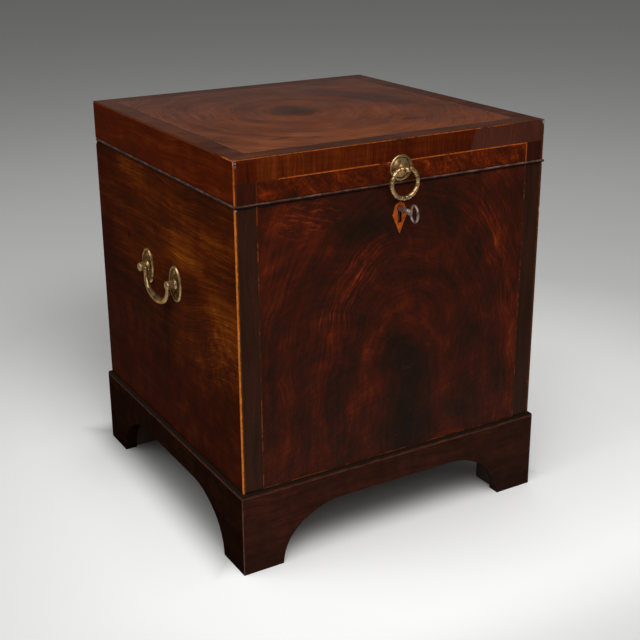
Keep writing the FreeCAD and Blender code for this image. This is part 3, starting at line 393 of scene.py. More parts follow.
def fan_side():
    """The side boards: level grain that sweeps up towards the front edge, and a mottled dark foot."""
    graph = Graph("mahogany_side")
    sweep = graph.times(graph.ease(graph.y, -40, -240), graph.hump(graph.z, 320, 125), -44)
    across = graph.total(graph.z, sweep, graph.wander(5, 150), graph.wander(1.2, 18, seed=9))
    along = graph.y
    fine = graph.streaks(along, across, 62, 1.9, 31)
    hair = graph.streaks(along, across, 24, 0.8, 36, 3)
    broad = graph.streaks(along, across, 190, 11, 32, 3)
    glow = graph.noise(graph.place, 1 / 100, 3)
    mottle = graph.noise(graph.place, 1 / 9, 4, 0.65)
    blot = graph.noise(graph.place, 1 / 26, 4, 0.6)
    knot = graph.patch(graph.y, graph.z, (-180, 300), (110, 90))
    low = graph.ease(graph.z, 330, 210)
    places = [((-70, 403), (95, 46), 0.36), ((-190, 345), (110, 66), 0.22), ((-185, 290), (120, 70), 0.14),
              ((-170, 440), (160, 40), 0.14), ((60, 470), (120, 40), 0.1), ((150, 290), (150, 110), -0.16),
              ((130, 440), (110, 40), -0.06), ((10, 245), (90, 90), -0.2), ((-6, 270), (16, 80), -0.12),
              ((120, 380), (9, 6), -0.3), ((60, 166), (220, 8), 0.1), ((-130, 220), (110, 60), -0.06),
              ((80, 170), (200, 60), -0.1), ((205, 315), (110, 110), -0.18), ((210, 180), (110, 90), -0.1),
              ((-90, 445), (190, 60), 0.07)]
    strands = graph.total(graph.swing(fine, 0.75), graph.swing(hair, 0.5), graph.swing(broad, 0.7))
    shade = graph.total(0.42, *graph.marks(graph.y, graph.z, places),
                        graph.times(strands, graph.total(1.0, graph.times(low, -0.4))),
                        graph.swing(glow, 0.6), graph.times(graph.swing(mottle, 1.0), knot),
                        graph.times(graph.swing(blot, 0.8), graph.total(0.25, low)))
    colour = graph.ramp(shade, [(0.0, (0.013, 0.0044, 0.0016)), (0.28, (0.03, 0.0066, 0.0018)),
                                (0.5, (0.0605, 0.0102, 0.0016)), (0.72, (0.124, 0.0262, 0.0022)),
                                (1.0, (0.26, 0.072, 0.0065))])
    redder = graph.larger(graph.ease(graph.y, 60, 200, 0.0, 0.45), graph.ease(graph.z, 290, 180, 0.0, 0.68))
    colour = graph.mix(redder, colour, (0.0215, 0.0027, 0.0007))
    spot = graph.noise(graph.place, 1 / 3.4, 1)
    dots = graph.times(graph.ease(spot, 0.71, 0.76), graph.patch(graph.y, graph.z, (-165, 255), (45, 42)))
    colour = graph.mix(graph.times(dots, 0.85), colour, (0.006, 0.003, 0.002))
    return polish(graph, colour, 33, along, across, gloss=0.32, level=0.001, rub=0.03)


def grain_axes(graph, grain):
    """The coordinate along a grain of x, y or z, and the sum of the two across it."""
    axes = {"x": graph.x, "y": graph.y, "z": graph.z}
    return axes.pop(grain), graph.total(*axes.values())


def straight_wood(name, grain, steps, seed, wide=2.2, long=110, level=0.04, gloss=0.3, rub=0.14, wear=None,
                  cross=0.0, uneven=None, over=None):
    """Plain grain along x, y or z, coloured in steps.

    Its streaks are about long by wide. cross is the strength of bars over the grain, wear makes a mask of
    worn places, on the plinth also a painted highlight, uneven makes lighter and darker places, on the plinth
    with painted shade, and over tints the colour, on the banding with painted sheen.
    """
    graph = Graph(name)
    along, plain = grain_axes(graph, grain)
    across = graph.total(plain, graph.wander(7, 120), graph.wander(0.8, 12, seed=9))
    hair = graph.streaks(along, across, long * 0.4, wide * 0.4, seed + 5, 3)
    fine = graph.streaks(along, across, long, wide, seed)
    broad = graph.streaks(along, across, long * 2.4, wide * 6, seed + 1, 3)
    cloud = graph.noise(graph.place, 1 / 80, 3)
    shade = graph.total(0.5, graph.swing(hair, 0.5), graph.swing(fine, 0.7), graph.swing(broad, 0.7),
                        graph.swing(cloud, 0.6))
    if cross:
        bar = graph.streaks(across, along, 60, 7, seed + 2, 2)
        shade = graph.total(shade, graph.swing(bar, cross))
    if uneven:
        shade = graph.total(shade, uneven(graph))
    colour = graph.ramp(shade, steps)
    if over:
        colour = over(graph, colour)
    mask = wear(graph) if wear else None
    return polish(graph, colour, seed + 4, along, across, mask, gloss, level, rub)


def band_places(graph):
    """The top's banding: darker along the front and round the near corner, redder along the left."""
    front = graph.ease(graph.y, -180, -206, 0.0, 0.02)
    near = graph.times(graph.patch(graph.x, graph.y, (-222, -170), (90, 90)), -0.25)
    return graph.total(front, near, graph.ease(graph.x, -150, -215, 0.0, 0.18))


def front_band_places(graph):
    """The lid's front band: brighter towards the left, but darker at its very end."""
    return graph.total(graph.ease(graph.x, -50, -150, 0.0, 0.16), graph.ease(graph.x, -190, -214, 0.0, -0.24))


def rail_places(graph):
    """The lid's side rails: brown at the back, orange in the middle, red at the front."""
    cloud = graph.noise(graph.place, 1 / 34, 4, 0.6)
    places = [((-20, 540), (120, 16), 0.14), ((150, 512), (110, 12), -0.14)]
    orange, brown = graph.marks(graph.y, graph.z, places)
    return graph.total(graph.swing(cloud, 0.5), orange, graph.ease(graph.y, 120, 230, 0.0, -0.1), brown)


def plinth_places(graph):
    """The plinth: clouded, with painted shade darker towards the floor and to the right."""
    blot = graph.noise(graph.place, 1 / 20, 4, 0.6)
    # Painted shade: darker towards the floor and to the right.
    return graph.total(graph.swing(blot, 0.6), graph.ease(graph.z, 70, 20, 0.0, -0.16),
                       graph.ease(graph.x, 60, 220, 0.0, -0.12))


def flame_lid():
    """The lid's front panel: broken orange flames, brightest at its left end."""
    graph = Graph("mahogany_flame_lid")
    bent_x = graph.total(graph.x, graph.wander(14, 45), graph.wander(3, 14, seed=5))
    bent_z = graph.total(graph.z, graph.wander(7, 40, seed=30), graph.wander(2, 12, seed=15))
    lean = graph.total(bent_x, graph.times(bent_z, 0.7))
    rise = graph.total(bent_z, graph.times(bent_x, -0.3))
    fine = graph.streaks(rise, lean, 20, 3.2, 13)
    broad = graph.streaks(rise, lean, 34, 14, 14, 3)
    hair = graph.streaks(lean, rise, 26, 1.3, 15, 3)
    cloud = graph.noise(graph.place, 1 / 26, 4, 0.65)
    side = graph.profile(graph.total(graph.x, 240), 480, [(0, -0.08), (90, -0.02), (150, 0.01), (240, -0.04),
                                                          (330, 0.05), (400, 0.08), (480, -0.03)])
    shade = graph.total(0.45, side, graph.swing(fine, 0.85), graph.swing(broad, 0.8), graph.swing(hair, 0.85),
                        graph.swing(cloud, 0.9))
    colour = graph.ramp(shade, [(0.0, (0.017, 0.0052, 0.0024)), (0.35, (0.05, 0.0078, 0.002)),
                                (0.6, (0.112, 0.0138, 0.002)), (0.82, (0.225, 0.03, 0.0035)),
                                (1.0, (0.42, 0.08, 0.009))])
    return polish(graph, colour, 17, rise, lean, level=0.03)


def tones(dark, middle, bright):
    """Three tones spread over the range of a grain."""
    return [(0.15, dark), (0.5, middle), (0.85, bright)]


def scaled(colour, share):
    """A colour made darker or lighter."""
    return tuple(share * part for part in colour)


def plinth_wear(graph):
    """Rubbed corners and top edge of the plinth, lighter as wear and as a painted highlight on the arrises,
    as a mask.
    """
    widest = 1.7
    half_x = (PLINTH_HIGH.x - PLINTH_LOW.x) / 2 / MM
    half_y = (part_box("plinth_back")[1].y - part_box("plinth_front")[0].y) / 2 / MM
    edge_x = graph.minus(half_x, graph.absolute(graph.x))
    edge_y = graph.minus(half_y, graph.absolute(graph.y))
    reach = graph.span(graph.noise(graph.place, 1 / 14, 4, 0.7), 0.3, 0.7, 0.1 * widest, widest)
    corner = graph.math("LESS_THAN", graph.larger(edge_x, edge_y), reach)
    drop = graph.minus(PLINTH_HIGH.z / MM, graph.z)
    rim = graph.larger(graph.smaller(edge_x, edge_y), drop)
    rim = graph.times(graph.math("LESS_THAN", rim, reach), 0.7)
    return graph.times(graph.larger(corner, rim), 0.6)


def boxwood(name, bright, gaps, seed, reach=None, right=0.0, left=0.0, level=0.012, face_only=False):
    """Boxwood line: orange under old polish, dirty and broken in places.

    With reach, only that much beside the arris is clean. With face_only, the top face stays dirty, and the
    lengths along the sides and the tops of the corners are dull.
    The part on the right side is darker and more broken by right, and the left end by left.
    """
    graph = Graph(name)
    moved = graph.vector("ADD", graph.place, (seed, 0, 0))
    run = graph.noise(moved, 1 / 42, 3, 0.6)
    bits = graph.noise(moved, 1 / 4.5, 3, 0.65)
    colour = graph.ramp(bits, [(0.3, scaled(bright, 0.5)), (0.68, bright)])
    worn = graph.total(graph.times(run, 0.65), graph.times(bits, 0.35))
    if right:
        worn = graph.total(worn, graph.ease(graph.x, 0, 200, 0.0, -right))
    if left:
        worn = graph.total(worn, graph.ease(graph.x, -164, -192, 0.0, -left))
    lost = graph.ease(worn, gaps + 0.04, gaps - 0.04)
    from_side = graph.minus(-CASE_LOW.x / MM, graph.absolute(graph.x))
    from_top = graph.minus(LID_TOP / MM, graph.z)
    if reach is not None:
        away = graph.smaller(from_side, from_top)
        limit = graph.span(graph.noise(graph.place, 1 / 7, 3, 0.7), 0.3, 0.7, 0.6 * reach, 1.35 * reach)
        past = graph.minus(away, limit)
        lost = graph.larger(lost, graph.ease(past, -0.15, 0.15))
    if face_only:
        lost = graph.larger(lost, graph.ease(from_top, 0.12, 0.02))
        dull = graph.total(graph.ease(graph.y, SIDE_START, SIDE_START + 10, 0.0, 0.78),
                           graph.times(graph.hump(graph.z, LID_TOP / MM - 16, 19), 0.42))
        colour = graph.mix(dull, colour, (0.05, 0.0085, 0.003))
    colour = graph.mix(graph.times(lost, 0.9), colour, (0.03, 0.0115, 0.006))
    chip = graph.noise(graph.place, 1 / 3.2, 2, 0.5)
    corner = graph.smaller(graph.absolute(graph.x), graph.absolute(graph.y))
    ends = graph.larger(graph.hump(graph.z, LID_TOP / MM - 4, 7), graph.hump(graph.z, CASE_TOP / MM, 5))
    corner_chips_and_highlight = graph.times(graph.ease(chip, 0.5, 0.56), ends, graph.ease(corner, 230, 234))
    # Pale chips at the corner ends, which also stand as a painted highlight on the rounded corners.
    colour = graph.mix(graph.times(corner_chips_and_highlight, 0.8), colour, (0.36, 0.3, 0.27))
    return graph.finish(colour, 0.34, bits, 0.05, Specular_IOR_Level=level)


def rubbed_moulding(name, clean, steps, ageing, dirt_and_shade, rough, level):
    """A moulding that is pale over part of its height and dark on the rest: on the plinth moulding a rubbed
    edge below a grimy top, on the bead a painted highlight above painted shade and grime.

    clean gives the heights between which the dark part goes over into the pale part, and steps its three
    tones.
    ageing gives where along y it starts and is full, how far it goes, and its colour.
    """
    graph = Graph(name)
    height = graph.total(graph.z, graph.wander(0.5, 12, 3))
    rub = graph.noise(graph.place, 1 / 22, 4, 0.65)
    grain = graph.noise(graph.vector("MULTIPLY", graph.place, (0.1, 0.1, 1.4)), 1.0, 3)
    worn = graph.total(graph.times(rub, 0.6), graph.times(grain, 0.4))
    pale = graph.ramp(worn, list(zip((0.34, 0.5, 0.64), steps)))
    start, full, share, aged = ageing
    pale = graph.mix(graph.ease(graph.y, start, full, 0.0, share), pale, aged)
    # The dark part and the pale part; on the bead these are painted shade and a painted highlight.
    return graph.finish(graph.mix(graph.ease(height, *clean), dirt_and_shade, pale), rough, rub, 0.1,
                        Specular_IOR_Level=level)


def bead_wood():
    """The lid's bead: a painted highlight along its upper half, painted shade with grime below, duller along
    the sides.
    """
    return rubbed_moulding("mahogany_bead", (BEAD_TOP / MM - 2.2, BEAD_TOP / MM - 1.0),
                           ((0.04, 0.0145, 0.0085), (0.088, 0.036, 0.024), (0.21, 0.118, 0.09)),
                           (SIDE_START, SIDE_START + 10, 0.35, (0.018, 0.007, 0.004)),
                           (0.012, 0.006, 0.0045), 0.4, 0.02)


def trim_wood():
    """The plinth moulding: dark with dirt on top, rubbed red along its outer edge, darker to the back."""
    return rubbed_moulding("mahogany_trim", (LEDGE / MM - 2.2, LEDGE / MM - 3.2),
                           ((0.022, 0.0066, 0.0036), (0.05, 0.0135, 0.0074), (0.098, 0.03, 0.0175)),
                           (-150, 160, 0.65, (0.008, 0.0034, 0.0022)),
                           (0.0125, 0.0078, 0.005), 0.45, 0.004)


def dry_oak(name, grain, bright=1.0):
    """Unpolished oak inside the case, darker where bright is under 1."""
    graph = Graph(name)
    along, plain = grain_axes(graph, grain)
    across = graph.total(plain, graph.wander(12, 160))
    fine = graph.streaks(along, across, 70, 1.4, 61)
    broad = graph.streaks(along, across, 300, 16, 62, 3)
    shade = graph.total(graph.times(fine, 0.6), graph.times(broad, 0.5), -0.05)
    steps = [(0.2, (0.12, 0.062, 0.03)), (0.55, (0.25, 0.145, 0.075)), (0.85, (0.36, 0.23, 0.125))]
    colour = graph.ramp(shade, [(at, scaled(tone, bright)) for at, tone in steps])
    stain = graph.ease(graph.noise(graph.place, 1 / 60, 4), 0.5, 0.75, 0.0, 0.5)
    colour = graph.mix(stain, colour, scaled((0.07, 0.04, 0.025), bright))
    vessels = pores(graph, along, across, 63)
    colour = graph.mix(graph.times(vessels, 0.7), colour, (0.03, 0.018, 0.01))
    height = graph.total(fine, graph.times(vessels, -1))
    return graph.finish(colour, 0.72, height, 0.15, Specular_IOR_Level=0.3)


# -------------------------------- metal

def patina(graph, size):
    """Clouds of one size and fine specks, and the two together, as noise."""
    cloud = graph.noise(graph.place, 1 / size, 5, 0.65)
    speck = graph.noise(graph.place, 1 / 0.9, 3, 0.6)
    return cloud, speck, graph.total(graph.times(cloud, 0.5), graph.times(speck, 0.5))


def worn_steel():
    """Grey-brown steel with patina in clouds and specks."""
    graph = Graph("steel_worn")
    cloud, speck, spots = patina(graph, 7)
    colour = graph.mix(graph.ease(cloud, 0.38, 0.62), (0.36, 0.26, 0.22), (0.2, 0.132, 0.11))
    colour = graph.mix(graph.ease(spots, 0.52, 0.66), colour, (0.07, 0.042, 0.033))
    roughness = graph.span(graph.noise(graph.place, 1 / 3, 4), 0.3, 0.7, 0.34, 0.56)
    height = graph.total(graph.times(cloud, 0.6), graph.times(speck, 0.25))
    return graph.finish(colour, roughness, height, 0.25, Metallic=0.7)


def worn_brass(name, groove=None, metallic=0.9, bright=1.0, size=7, rough=0.18):
    """Brass that is bright where it is handled and brown in its hollows; groove makes the hollows' mask."""
    graph = Graph(name)
    cloud, speck, spots = patina(graph, size)
    clean, dull = scaled((0.57, 0.365, 0.165), bright), scaled((0.31, 0.185, 0.085), bright)
    colour = graph.mix(graph.ease(cloud, 0.4, 0.64), clean, dull)
    grime = graph.ease(spots, 0.54, 0.68)
    if groove is not None:
        grime = graph.larger(grime, groove(graph))
    colour = graph.mix(graph.times(grime, 0.95), colour, (0.05, 0.029, 0.015))
    roughness = graph.total(graph.span(graph.noise(graph.place, 1 / 3, 4), 0.3, 0.7, rough, rough + 0.2),
                            graph.times(grime, 0.12))
    height = graph.total(graph.times(cloud, 0.5), graph.times(speck, 0.2))
    return graph.finish(colour, roughness, height, 0.1, Metallic=metallic,
                        Specular_Tint=(0.75, 0.55, 0.35, 1))


def plate_hollow(graph):
    """The dished fields of the oval handle plates, inside their rims."""
    low, high = (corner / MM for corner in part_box("left_handle_plates"))
    half_y, half_z = 19, (high.z - low.z) / 2
    apart = (high.y - low.y) / 2 - half_y
    v = graph.times(graph.minus(graph.absolute(graph.y), apart), 1 / half_y)
    w = graph.times(graph.minus(graph.z, (low.z + high.z) / 2), 1 / half_z)
    field = graph.ease(graph.polar(v, w)[0], 0.82, 0.92, 1.0, 0.0)
    return graph.times(field, graph.span(graph.noise(graph.place, 1 / 6, 3), 0.35, 0.6, 0.72, 1.0))


def ring_hollow(graph):
    """The line between the rim and the dome of the ring's plate."""
    line_radius, line_half = 13.4, 1.5
    middle = sum(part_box("ring_backplate"), Vector()).z / 2 / MM
    away = graph.polar(graph.x, graph.minus(graph.z, middle))[0]
    return graph.times(graph.hump(away, line_radius, line_half), 0.85)


# -------------------------------- painting the CAD nodes

def paint(material, *names):
    """Give CAD nodes a material."""
    for name in names:
        mesh = NODES[name].data
        mesh.materials.clear()
        mesh.materials.append(material)


def both(pattern):
    """A name on the left and on the right."""
    return [pattern.format(side) for side in ("left", "right")]


def paint_case():
    """Wood, lines, oak and metal on everything that CAD made."""
    paint(flame_front(), "front_panel_veneer")
    paint(flame_lid(), "lid_front_veneer")
    paint(swirl_top(), "lid_top_veneer")
    paint(fan_side(), *both("{}_side_board"))
    stile = tones((0.0142, 0.0062, 0.0038), (0.0265, 0.0098, 0.0054), (0.045, 0.0138, 0.0066))
    paint(straight_wood("mahogany_stile", "z", stile, 41, level=0.025), "front_stiles", "front_board")
    lid_stile = tones((0.015, 0.0046, 0.0028), (0.038, 0.0072, 0.0032), (0.082, 0.0135, 0.0045))
    paint(straight_wood("mahogany_lid_stile", "z", lid_stile, 43), "lid_front_stiles", "lid_front_rail")
    rail = tones((0.032, 0.0062, 0.0011), (0.064, 0.0078, 0.001), (0.118, 0.0205, 0.0025))
    paint(straight_wood("mahogany_lid_rail", "y", rail, 45, wide=3, long=120, level=0.002, rub=0.06,
                        uneven=rail_places), *both("lid_{}_rail"))
    band = tones((0.028, 0.0046, 0.0009), (0.07, 0.0082, 0.001), (0.14, 0.0255, 0.003))
    paint(straight_wood("mahogany_lid_band", "z", band, 51, wide=2.6, long=80, cross=0.45,
                        uneven=front_band_places), "lid_front_band")
    patch = tones((0.032, 0.0105, 0.0066), (0.066, 0.0182, 0.0105), (0.1, 0.027, 0.015))
    paint(straight_wood("mahogany_band_patch", "z", patch, 55, wide=3.2, long=60), "lid_front_band_patch")
    banding = tones((0.024, 0.0092, 0.0058), (0.051, 0.014, 0.0064), (0.094, 0.0245, 0.008))
    # The banding also takes the painted sheen towards the back.
    paint(straight_wood("mahogany_banding", "x", banding, 57, wide=3, long=40, level=0.02,
                        uneven=band_places, over=dull_polish), "lid_top_banding")
    base = tones((0.0135, 0.0048, 0.0026), (0.0275, 0.0079, 0.0041), (0.051, 0.0128, 0.0058))
    paint(straight_wood("mahogany_plinth_x", "x", base, 65, level=0.012, wear=plinth_wear,
                        uneven=plinth_places), "plinth_front", "plinth_back")
    side = tones((0.0058, 0.0025, 0.0013), (0.0102, 0.0038, 0.002), (0.0205, 0.0064, 0.003))
    paint(straight_wood("mahogany_plinth_y", "y", side, 67, level=0.0, wear=plinth_wear,
                        uneven=plinth_places), *both("plinth_{}"))
    paint(trim_wood(), "plinth_moulding")
    paint(bead_wood(), "lid_bead")
    back = tones((0.022, 0.0085, 0.0045), (0.05, 0.0165, 0.0075), (0.095, 0.036, 0.014))
    paint(straight_wood("mahogany_back", "x", back, 75, level=0.1, gloss=0.5), "back_board", "lid_back_rail")
    paint(boxwood("boxwood_corner", (0.66, 0.178, 0.018), 0.38, 3, reach=1.2, right=0.25), "corner_stringing")
    paint(boxwood("boxwood_edge", (0.56, 0.112, 0.01), 0.42, 27, reach=0.9, right=0.1, face_only=True),
          "lid_edge_stringing")
    paint(boxwood("boxwood_line", (0.19, 0.04, 0.0075), 0.5, 9, right=0.05), "front_stringing")
    paint(boxwood("boxwood_lid_line", (0.48, 0.105, 0.014), 0.38, 33, left=0.22), "lid_front_stringing")
    paint(boxwood("boxwood_field", (0.2, 0.088, 0.05), 0.5, 15, level=0.1), "lid_top_stringing")
    paint(boxwood("boxwood_kite", (0.52, 0.1, 0.013), 0.32, 21), "escutcheon")
    long_oak, cross_oak = dry_oak("oak_x", "x"), dry_oak("oak_y", "y")
    paint(long_oak, "bottom_board", "lid_top_board", *[f"divider_long_{n}" for n in (1, 2, 3)])
    paint(cross_oak, *[f"divider_cross_{n}" for n in (1, 2, 3)])
    paint(dry_oak("oak_darkened", "z", 0.16), "foot_blocks")
    paint_metal()


def paint_metal():
    """Aged brass and steel, and the pieces that the plain solids stand in for."""
    brass = worn_brass("brass_aged")
    steel = worn_steel()
    for pattern in ("{}_hinge_carcass_leaf", "{}_hinge_lid_leaf", "{}_hinge_pin", "{}_handle_posts"):
        paint(brass, *both(pattern))
    paint(brass, "carcass_screws", "lid_screws", "handle_screws", "ring_post", "ring_nut", "pull_ring")
    # The handle plates, bails and posts take darker copies of the brass as painted shade.
    paint(worn_brass("brass_plates", plate_hollow, bright=0.85), *both("{}_handle_plates"))
    paint(worn_brass("brass_bail", bright=0.8, size=16, rough=0.12), *both("{}_handle_bail"))
    paint(worn_brass("brass_rose", ring_hollow), "ring_backplate")
    paint(steel, "lock_case", "lock_bolt", "link_plate", "key")
    cast_ring(brass)
    rounded_key(steel)
    stem = worn_brass("brass_posts", metallic=0.75, bright=0.85, size=12, rough=0.14)
    for side in (-1, 1):
        headed_posts(stem, side)


# -------------------------------- pieces with more form than their solids

def angles(count):
    """The angles of a full turn in equal steps."""
    return [2 * math.pi * index / count for index in range(count)]


def grid(shape, rows, closed=False):
    """Join rows of points, each a loop of equal length, into a smooth skin with capped or joined ends."""
    loops = [[shape.verts.new(point) for point in row] for row in rows]
    pairs = list(zip(loops, loops[1:])) + ([(loops[-1], loops[0])] if closed else [])
    for first, second in pairs:
        for index in range(len(first)):
            after = (index + 1) % len(first)
            shape.faces.new((first[index], first[after], second[after], second[index]))
    if not closed:
        shape.faces.new(reversed(loops[0]))
        shape.faces.new(loops[-1])


def piece(name, shape, material, body, node):
    """Turn a built shape into an object that rides a body and stands for a CAD node."""
    bmesh.ops.recalc_face_normals(shape, faces=shape.faces)
    mesh = bpy.data.meshes.new(name)
    shape.to_mesh(mesh)
    shape.free()
    mesh.polygons.foreach_set("use_smooth", [len(face.vertices) == 4 for face in mesh.polygons])
    mesh.materials.append(material)
    made = bpy.data.objects.new(name, mesh)
    bpy.context.scene.collection.objects.link(made)
    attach(made, body)
    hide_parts(node)


def cast_ring(material):
    """The ring pull, cast with slanting grooves like a twisted cord, on its straight pin."""
    half_pin, pin_radius, pitch = 7 * MM, 1.9 * MM, 7.4 * MM
    groove_depth, groove_width, end_reach = 0.15, 0.11, 0.6
    steps, around = 260, 28
    low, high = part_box("pull_ring")
    wire = (high.y - low.y) / 2
    outer = (high.x - low.x) / 2
    radius = outer - wire
    centre = Vector(((low.x + high.x) / 2, (low.y + high.y) / 2, low.z + outer))
    gap = math.asin(half_pin / radius)
    arc = 2 * math.pi - 2 * gap
    rows = []
    for step in range(steps + 1):
        turn = gap + arc * step / steps
        out = Vector((math.sin(turn), 0, math.cos(turn)))
        run = radius * (turn - gap)
        from_end = min(run, radius * arc - run)
        shoulder = math.sqrt(max(0.0, 1 - max(0.0, 1 - from_end / (end_reach * wire)) ** 2))
        row = []
        for side in angles(around):
            phase = (run / pitch + side / (2 * math.pi)) % 1.0
            groove = math.exp(-(min(phase, 1 - phase) / groove_width) ** 2)
            reach = wire * (0.3 + 0.7 * shoulder) * (1.0 - groove_depth * groove)
            sideways = Vector((0, reach * math.sin(side), 0))
            row.append(centre + out * (radius + reach * math.cos(side)) + sideways)
        rows.append(row)
    shape = bmesh.new()
    grid(shape, rows)
    top = centre.z + math.sqrt(radius ** 2 - half_pin ** 2)
    grid(shape, [[Vector((x, centre.y + pin_radius * math.cos(a), top + pin_radius * math.sin(a)))
                  for a in angles(20)] for x in (-half_pin, half_pin)])
    piece("cast_ring", shape, material, "ring", "pull_ring")


def headed_posts(material, side):
    """One side's two handle posts, each a thick stem with a cut head that holds the bail's pin."""
    name = "left" if side < 0 else "right"
    low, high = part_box(f"{name}_handle_posts")
    base_radius, head, cuts, cut_depth = 7.5 * MM, (7.5, 15.5), 8, 0.035
    middle_z = (low.z + high.z) / 2
    turned = [(-9.8, 2.3), (-9.5, 2.5), (1.7, 2.5), (1.8, 7.4), (2.6, 7.4), (3.3, 6.6), (4.0, 6.0),
              (5.4, 5.8), (6.6, 5.9), (7.4, 6.2), (8.0, 6.35), (13.6, 6.35), (14.8, 6.1), (15.6, 5.4),
              (16.1, 3.9), (16.3, 1.4)]
    shape = bmesh.new()
    for y in (low.y + base_radius, high.y - base_radius):
        rows = []
        for reach, radius in turned:
            cut = cut_depth if head[0] <= reach <= head[1] else 0.0
            row = []
            for turn in angles(40):
                size = radius * MM * (1 - cut * (0.5 - 0.5 * math.cos(cuts * turn)))
                row.append(Vector((side * (CASE_HIGH.x + reach * MM), y + size * math.cos(turn),
                                   middle_z + size * math.sin(turn))))
            rows.append(row)
        grid(shape, rows)
    piece(f"{name}_headed_posts", shape, material, "carcass", f"{name}_handle_posts")


def rounded_key(material):
    """The key, with a bow of round wire, a turned collar and a straight shaft with its bit."""
    wire, breadth, overlap = 1.6 * MM, 1.15, 1.5 * MM
    bit_half, below_shaft = 1.2 * MM, 5 * MM
    low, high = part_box("key")
    height = high.z - low.z
    centre_z = (low.z + high.z) / 2
    points = [vertex.co for vertex in NODES["key"].data.vertices]
    inside = [point for point in points if point.y > FRONT_Y and point.z < centre_z - below_shaft]
    bit_low, bit_high = min(point.y for point in inside), max(point.y for point in inside)
    bit_end = min(point.z for point in inside)
    crown = [point.y for point in points if point.z > high.z - 0.1 * MM]
    centre_y = sum(crown) / len(crown)
    length = 2 * (centre_y - low.y)
    shape = bmesh.new()
    rows = []
    for turn in angles(72):
        out = Vector((0, math.cos(turn), math.sin(turn)))
        spine = Vector((0, centre_y + (length / 2 - wire) * out.y, centre_z + (height / 2 - wire) * out.z))
        rows.append([spine + out * wire * math.cos(a) + Vector((breadth * wire * math.sin(a), 0, 0))
                     for a in angles(18)])
    grid(shape, rows, closed=True)
    start = low.y + length - overlap
    turned = [(0.0, 2.1), (1.0, 2.8), (1.6, 3.8), (2.4, 4.0), (3.1, 3.8), (3.6, 3.0), (4.3, 2.9), (4.7, 3.4),
              (5.2, 3.9), (5.7, 3.7), (6.5, 3.6)]
    face, end = (FRONT_Y - start) / MM, (high.y - start) / MM
    turned += [(face - 3, 3.65), (face, 3.5), (face + 2, 3.15), (end - 0.8, 3.15), (end, 2.4)]
    grid(shape, [[Vector((radius * MM * math.cos(a), start + reach * MM,
                          centre_z + radius * MM * math.sin(a)))
                  for a in angles(24)] for reach, radius in turned])
    made = bmesh.ops.create_cube(shape, size=1.0)
    size = Vector((2 * bit_half, bit_high - bit_low, centre_z - bit_end))
    middle = Vector((0, (bit_low + bit_high) / 2, (centre_z + bit_end) / 2))
    for vertex in made["verts"]:
        vertex.co = Vector(a * b for a, b in zip(vertex.co, size)) + middle
    piece("rounded_key", shape, material, "key", "key")


# -------------------------------- stage

def floor_shade(graph):
    """The floor's own soft shading: dark under the case and falling away behind it, 1 in the open."""
    middle_y, half_y, behind_x = 34, 226, 60
    beside = graph.total(graph.absolute(graph.x), PLINTH_LOW.x / MM)
    before = graph.total(graph.absolute(graph.total(graph.y, -middle_y)), -half_y)
    under = graph.ease(graph.larger(beside, before), -30, 45, 0.3, 1.0)
    across = graph.ease(graph.absolute(graph.total(graph.x, -behind_x)), 0, 460, 1.0, 0.0)
    behind = graph.times(across, graph.ease(graph.y, 0, 200), graph.ease(graph.y, 300, 1250, 0.75, 0.0))
    return graph.times(under, graph.minus(1.0, behind))


def paint_floor():
    """The floor, with a painted pool of light: nearly white round the case, and greyer with the logarithm of
    the distance.
    """
    light_pool_x, light_pool_y = 160, -85
    graph = Graph("floor")
    # Distance from the centre of the painted pool of light.
    to_light_pool = graph.join(graph.total(graph.x, -light_pool_x), graph.total(graph.y, -light_pool_y), 0.0)
    away = graph.add("ShaderNodeVectorMath", output="Value", settings={"operation": "LENGTH"}, i0=to_light_pool)
    fade = graph.math("LOGARITHM", graph.larger(graph.times(away, MM), 0.05), 10.0)
    greys = [(0.0, 0.99), (0.06, 0.96), (0.136, 0.87), (0.232, 0.69), (0.306, 0.565), (0.414, 0.51),
             (0.495, 0.485), (0.573, 0.44), (0.635, 0.39), (0.71, 0.34), (0.788, 0.295), (0.877, 0.26),
             (0.985, 0.235)]
    colour = graph.ramp(graph.span(fade, -0.45, 0.95), [(at, (grey, grey, grey)) for at, grey in greys])
    black = (0.0, 0.0, 0.0)
    # Painted shade on the floor far in front of the case.
    colour = graph.mix(graph.ease(graph.y, -430, -620, 0.0, 0.22), colour, black)
    return graph.finish(graph.mix(floor_shade(graph), black, colour), 0.9, Specular_IOR_Level=0.0)


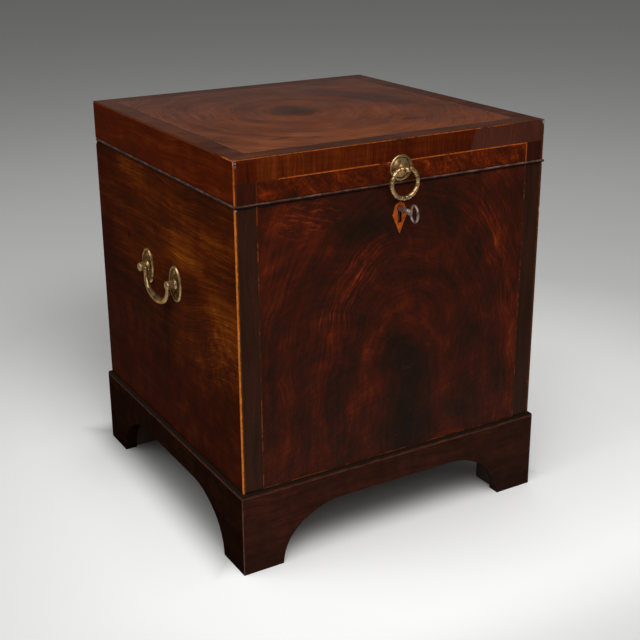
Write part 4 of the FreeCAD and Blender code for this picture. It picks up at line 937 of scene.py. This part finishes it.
def build_stage():
    """A pale round floor with a painted pool of light that darkens with distance, a grey room and two soft
    lamps.
    """
    floor_radius = 30
    mesh = bpy.data.meshes.new("floor")
    shape = bmesh.new()
    bmesh.ops.create_circle(shape, cap_ends=True, cap_tris=False, segments=96, radius=floor_radius)
    shape.to_mesh(mesh)
    shape.free()
    floor = bpy.data.objects.new("floor", mesh)
    bpy.context.scene.collection.objects.link(floor)
    mesh.materials.append(paint_floor())
    build_world()
    aim = (0, 0, 0.3)
    lamp("lamp_over", (-0.7, -1.7, 2.0), aim, size=2.2, power=38)
    lamp("lamp_left", (-1.65, 0.1, 2.3), aim, size=1.6, power=22)


def build_world():
    """Soft light from above that fades towards the horizon, seen as an even grey."""
    world = bpy.data.worlds.new("room")
    bpy.context.scene.world = world
    nodes = Nodes(world)
    rays = nodes.tree.nodes.new("ShaderNodeLightPath").outputs
    seen = nodes.larger(rays["Is Camera Ray"], rays["Is Glossy Ray"], rays["Is Transmission Ray"])
    height = nodes.add("ShaderNodeSeparateXYZ", "Z", i0=nodes.add("ShaderNodeTexCoord", "Generated"))
    strength = nodes.add("ShaderNodeMapRange", i0=height, i1=0.2, i2=0.6, i3=0.02, i4=0.62)
    lit = nodes.add("ShaderNodeBackground", Color=(1.0, 0.995, 0.985, 1), Strength=strength)
    shown = nodes.add("ShaderNodeBackground", Color=(0.14, 0.14, 0.14, 1))
    output = nodes.tree.nodes.new("ShaderNodeOutputWorld")
    nodes.feed(output.inputs[0], nodes.add("ShaderNodeMixShader", i0=seen, i1=lit, i2=shown))


def lamp(name, place, target, size, power):
    """A square area lamp aimed at a point."""
    data = bpy.data.lights.new(name, "AREA")
    data.size = size
    data.energy = power
    made = bpy.data.objects.new(name, data)
    made.location = place
    made.rotation_euler = (Vector(target) - Vector(place)).to_track_quat("-Z", "Y").to_euler()
    bpy.context.scene.collection.objects.link(made)


def build_camera():
    """The camera, to the left of the front and above it."""
    place, yaw, pitch, roll = (-0.8144, -1.3931, 0.8606), -30.531, 19.163, -0.36
    data = bpy.data.cameras.new("camera")
    data.sensor_width = 36
    data.lens = 64.019
    data.shift_y = -0.0563
    data.clip_end = 100
    made = bpy.data.objects.new("camera", data)
    turn = Matrix.Rotation(math.radians(yaw), 4, "Z") @ Matrix.Rotation(math.radians(90 - pitch), 4, "X")
    turn = turn @ Matrix.Rotation(math.radians(roll), 4, "Z")
    made.matrix_world = Matrix.Translation(place) @ turn
    bpy.context.scene.collection.objects.link(made)
    bpy.context.scene.camera = made


paint_case()
build_stage()
build_camera()
bpy.context.scene.view_settings.view_transform = "Standard"
